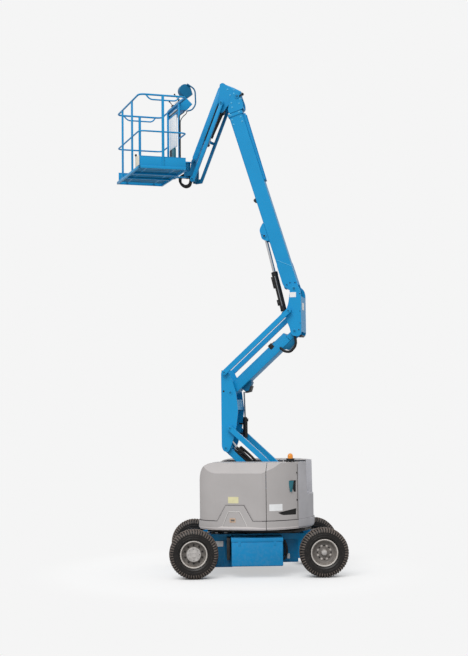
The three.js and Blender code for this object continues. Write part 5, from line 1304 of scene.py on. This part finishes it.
def buildCylinder(tag, spec):
    base = pinAt[f"{tag}_barrel_pivot"]
    axis = slideAxis[f"{tag}_rod_slide"].normalized()
    low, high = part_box(f"{tag}_rod")
    corner = [abs(axis[k]) for k in range(3)]
    reach = max(((high if axis[k] > 0 else low) - base)[k] / axis[k] for k in range(3) if corner[k] > 0.4)
    length = reach - spec["rodPin"] - 0.013
    place = alongLine(base, base + axis)
    bm = bmesh.new()
    r, end = spec["radius"], spec["length"]
    bore = spec["rod"] + 0.001
    addTurned(bm, [(0, 0.052), (r * 0.82, 0.052), (r, 0.064), (r, end - 0.050), (r + 0.0035, end - 0.047),
                   (r + 0.0035, end - 0.004), (r, end), (bore, end), (bore, 0.082), (0, 0.080)], place, 40)
    addEye(bm, base, spec["half"], spec["pin"] + 0.019, spec["pin"] + 0.0015)
    for share in (0.10, 0.93):
        addTurned(bm, [(r - 0.001, share * end - 0.012), (r + 0.003, share * end - 0.010),
                       (r + 0.003, share * end + 0.010), (r - 0.001, share * end + 0.012)], place, 40)
    addPiece(f"{tag}_barrel_tube", bm, f"{tag}_barrel", "black", smooth=30, stands=[f"{tag}_barrel"])
    lift = axis.cross(acrossAxis).normalized()
    if lift.x > 0:
        lift = -lift
    bm = bmesh.new()
    frameOf = Matrix((axis, acrossAxis, lift)).transposed().to_4x4()
    for start, stop in valves[tag]:
        addBox(bm, (start, -0.022, r - 0.012), (stop, 0.022, r + 0.022), 0.004)
        addBox(bm, (start + 0.02, -0.030, r - 0.016), (start + 0.05, 0.030, r + 0.012), 0.003)
    addPiece(f"{tag}_barrel_valve", bm, f"{tag}_barrel", "black", Matrix.Translation(base) @ frameOf)
    if spec["sideTube"]:  # a transfer pipe against the barrel
        bm = bmesh.new()
        path = ((0.12, 0), (0.13, 0.010), (end - 0.08, 0.010), (end - 0.07, 0))
        addTube(bm, [base + axis * share - acrossAxis * (r - 0.006 + out) for share, out in path], 0.006, 0.02)
        addPiece(f"{tag}_barrel_pipe", bm, f"{tag}_barrel", "steel", smooth=40)
    bm = bmesh.new()
    addTurned(bm, [(0, spec["tail"]), (spec["rod"], spec["tail"]), (spec["rod"], length - spec["rodPin"]),
                   (0, length - spec["rodPin"])], place, 40)
    addPiece(f"{tag}_rod_bar", bm, f"{tag}_rod", "chrome", smooth=30, stands=[f"{tag}_rod"])
    bm = bmesh.new()
    addEye(bm, base + axis * length, spec["rodHalf"], spec["rodPin"] + 0.012)
    addPiece(f"{tag}_rod_eye", bm, f"{tag}_rod", "black", smooth=30)


for tag, spec in cylinders.items():
    buildCylinder(tag, spec)
print("cylinders built")

beacon = {
    "at": (0.606, -0.450, 1.6884),
    "dome": [(0, 0), (0.0395, 0), (0.0395, 0.008), (0.0385, 0.012), (0.0395, 0.020), (0.0385, 0.024),
             (0.0395, 0.032), (0.0385, 0.036), (0.039, 0.050), (0.035, 0.064), (0.026, 0.077),
             (0.013, 0.0845), (0, 0.0865)],
    "collar": [(0.0385, -0.004), (0.0425, -0.004), (0.0425, 0.010), (0.0400, 0.012), (0.0385, 0.012),
               (0.0385, -0.004)],
}


def buildBeacon():
    place = turnPlace @ Matrix.Translation(beacon["at"])
    bm = bmesh.new()
    addTurned(bm, beacon["dome"], place, 40)
    addPiece("beacon_dome", bm, "turntable", "amber", smooth=40, stands=["beacon_lens"])
    bm = bmesh.new()
    addTurned(bm, beacon["collar"], place, 40)
    for side in (-1, 1):
        part = bmesh.new()
        addBox(part, (-0.010, -0.014, -0.080), (0.010, 0.014, 0.014), 0.003)
        mergePart(bm, part, place @ Matrix.Translation((side * 0.050, 0, 0)))
    addPiece("beacon_cradle", bm, "turntable", "black")


buildBeacon()
print("beacon built")

studio = {
    "background": srgb(245, 245, 245),
    "floorSeen": 0.90, "floorLit": 0.42,  # seen by the camera, and as it lights the machine from below
    "shadow": 0.45,
    "fade": (1.4, 3.2),      # metres from the middle over which the shading ends
    "contact": (0.08, 0.42),  # and from the middle of each tyre
    "size": 40,
    "sky": 0.70,
    "sun": 1.75, "sunTurn": (42, 0, -24), "sunSpread": 40,
}


def showsBackground(tree):
    paths = addNode(tree, "LightPath")
    return mathNode(tree, "ADD", paths.outputs["Is Camera Ray"], paths.outputs["Is Transmission Ray"], clamp=True)


def buildStudio():
    world = bpy.data.worlds.new("studio")
    bpy.context.scene.world = world
    world.use_nodes = True
    tree = world.node_tree
    tree.nodes.clear()
    light = addNode(tree, "Background", {"Color": (1, 1, 1, 1), "Strength": studio["sky"]}).outputs[0]
    back = addNode(tree, "Background", {"Color": (*studio["background"], 1)}).outputs[0]
    addNode(tree, "OutputWorld", [addNode(tree, "MixShader", [showsBackground(tree), light, back]).outputs[0]])

    bm = bmesh.new()
    size = studio["size"]
    bm.faces.new([bm.verts.new((x * size, y * size, -0.001)) for x, y in ((-1, -1), (1, -1), (1, 1), (-1, 1))])
    mesh = bpy.data.meshes.new("studioFloor")
    bm.to_mesh(mesh)
    bm.free()
    floor = bpy.data.objects.new("studioFloor", mesh)
    bpy.context.scene.collection.objects.link(floor)
    material = bpy.data.materials.new("studioFloor")
    material.use_nodes = True
    tree = material.node_tree
    seen = addNode(tree, "LightPath").outputs["Is Camera Ray"]
    tones = [tuple([studio[key]] * 3) for key in ("floorLit", "floorSeen")]
    shader = setInputs(tree, tree.nodes["Principled BSDF"], {
        "Base Color": mixColor(tree, seen, *tones), "Roughness": 0.9, "Specular IOR Level": 0.0})
    glow = addNode(tree, "Emission", {"Color": (*studio["background"], 1)})
    spot = addNode(tree, "TexCoord").outputs["Object"]
    length = addNode(tree, "VectorMath", [spot], operation="LENGTH").outputs["Value"]
    away = stepRange(tree, length, *studio["fade"])
    gaps = [addNode(tree, "VectorMath", [spot, (pin.x, pin.y, 0)], operation="DISTANCE").outputs["Value"]
            for joint, pin in pinAt.items() if "_wheel_" in joint]
    near = gaps[0]  # the shading is kept in full where the tyres stand
    for gap in gaps[1:]:
        near = mathNode(tree, "MINIMUM", near, gap)
    beside = mathNode(tree, "MULTIPLY", stepRange(tree, near, *studio["contact"]), 1 - studio["shadow"])
    clear = mathNode(tree, "MULTIPLY", mathNode(tree, "MAXIMUM", away, beside), showsBackground(tree))
    mix = addNode(tree, "MixShader", [clear, shader.outputs[0], glow.outputs[0]])
    setInputs(tree, tree.nodes["Material Output"], {"Surface": mix.outputs[0]})
    floor.data.materials.append(material)

    data = bpy.data.lights.new("softSun", "SUN")
    data.energy = studio["sun"]
    data.angle = radians(studio["sunSpread"])
    sun = bpy.data.objects.new("softSun", data)
    sun.rotation_euler = [radians(a) for a in studio["sunTurn"]]
    bpy.context.scene.collection.objects.link(sun)
    bpy.context.scene.view_settings.view_transform = "Standard"


buildStudio()
print("studio built")
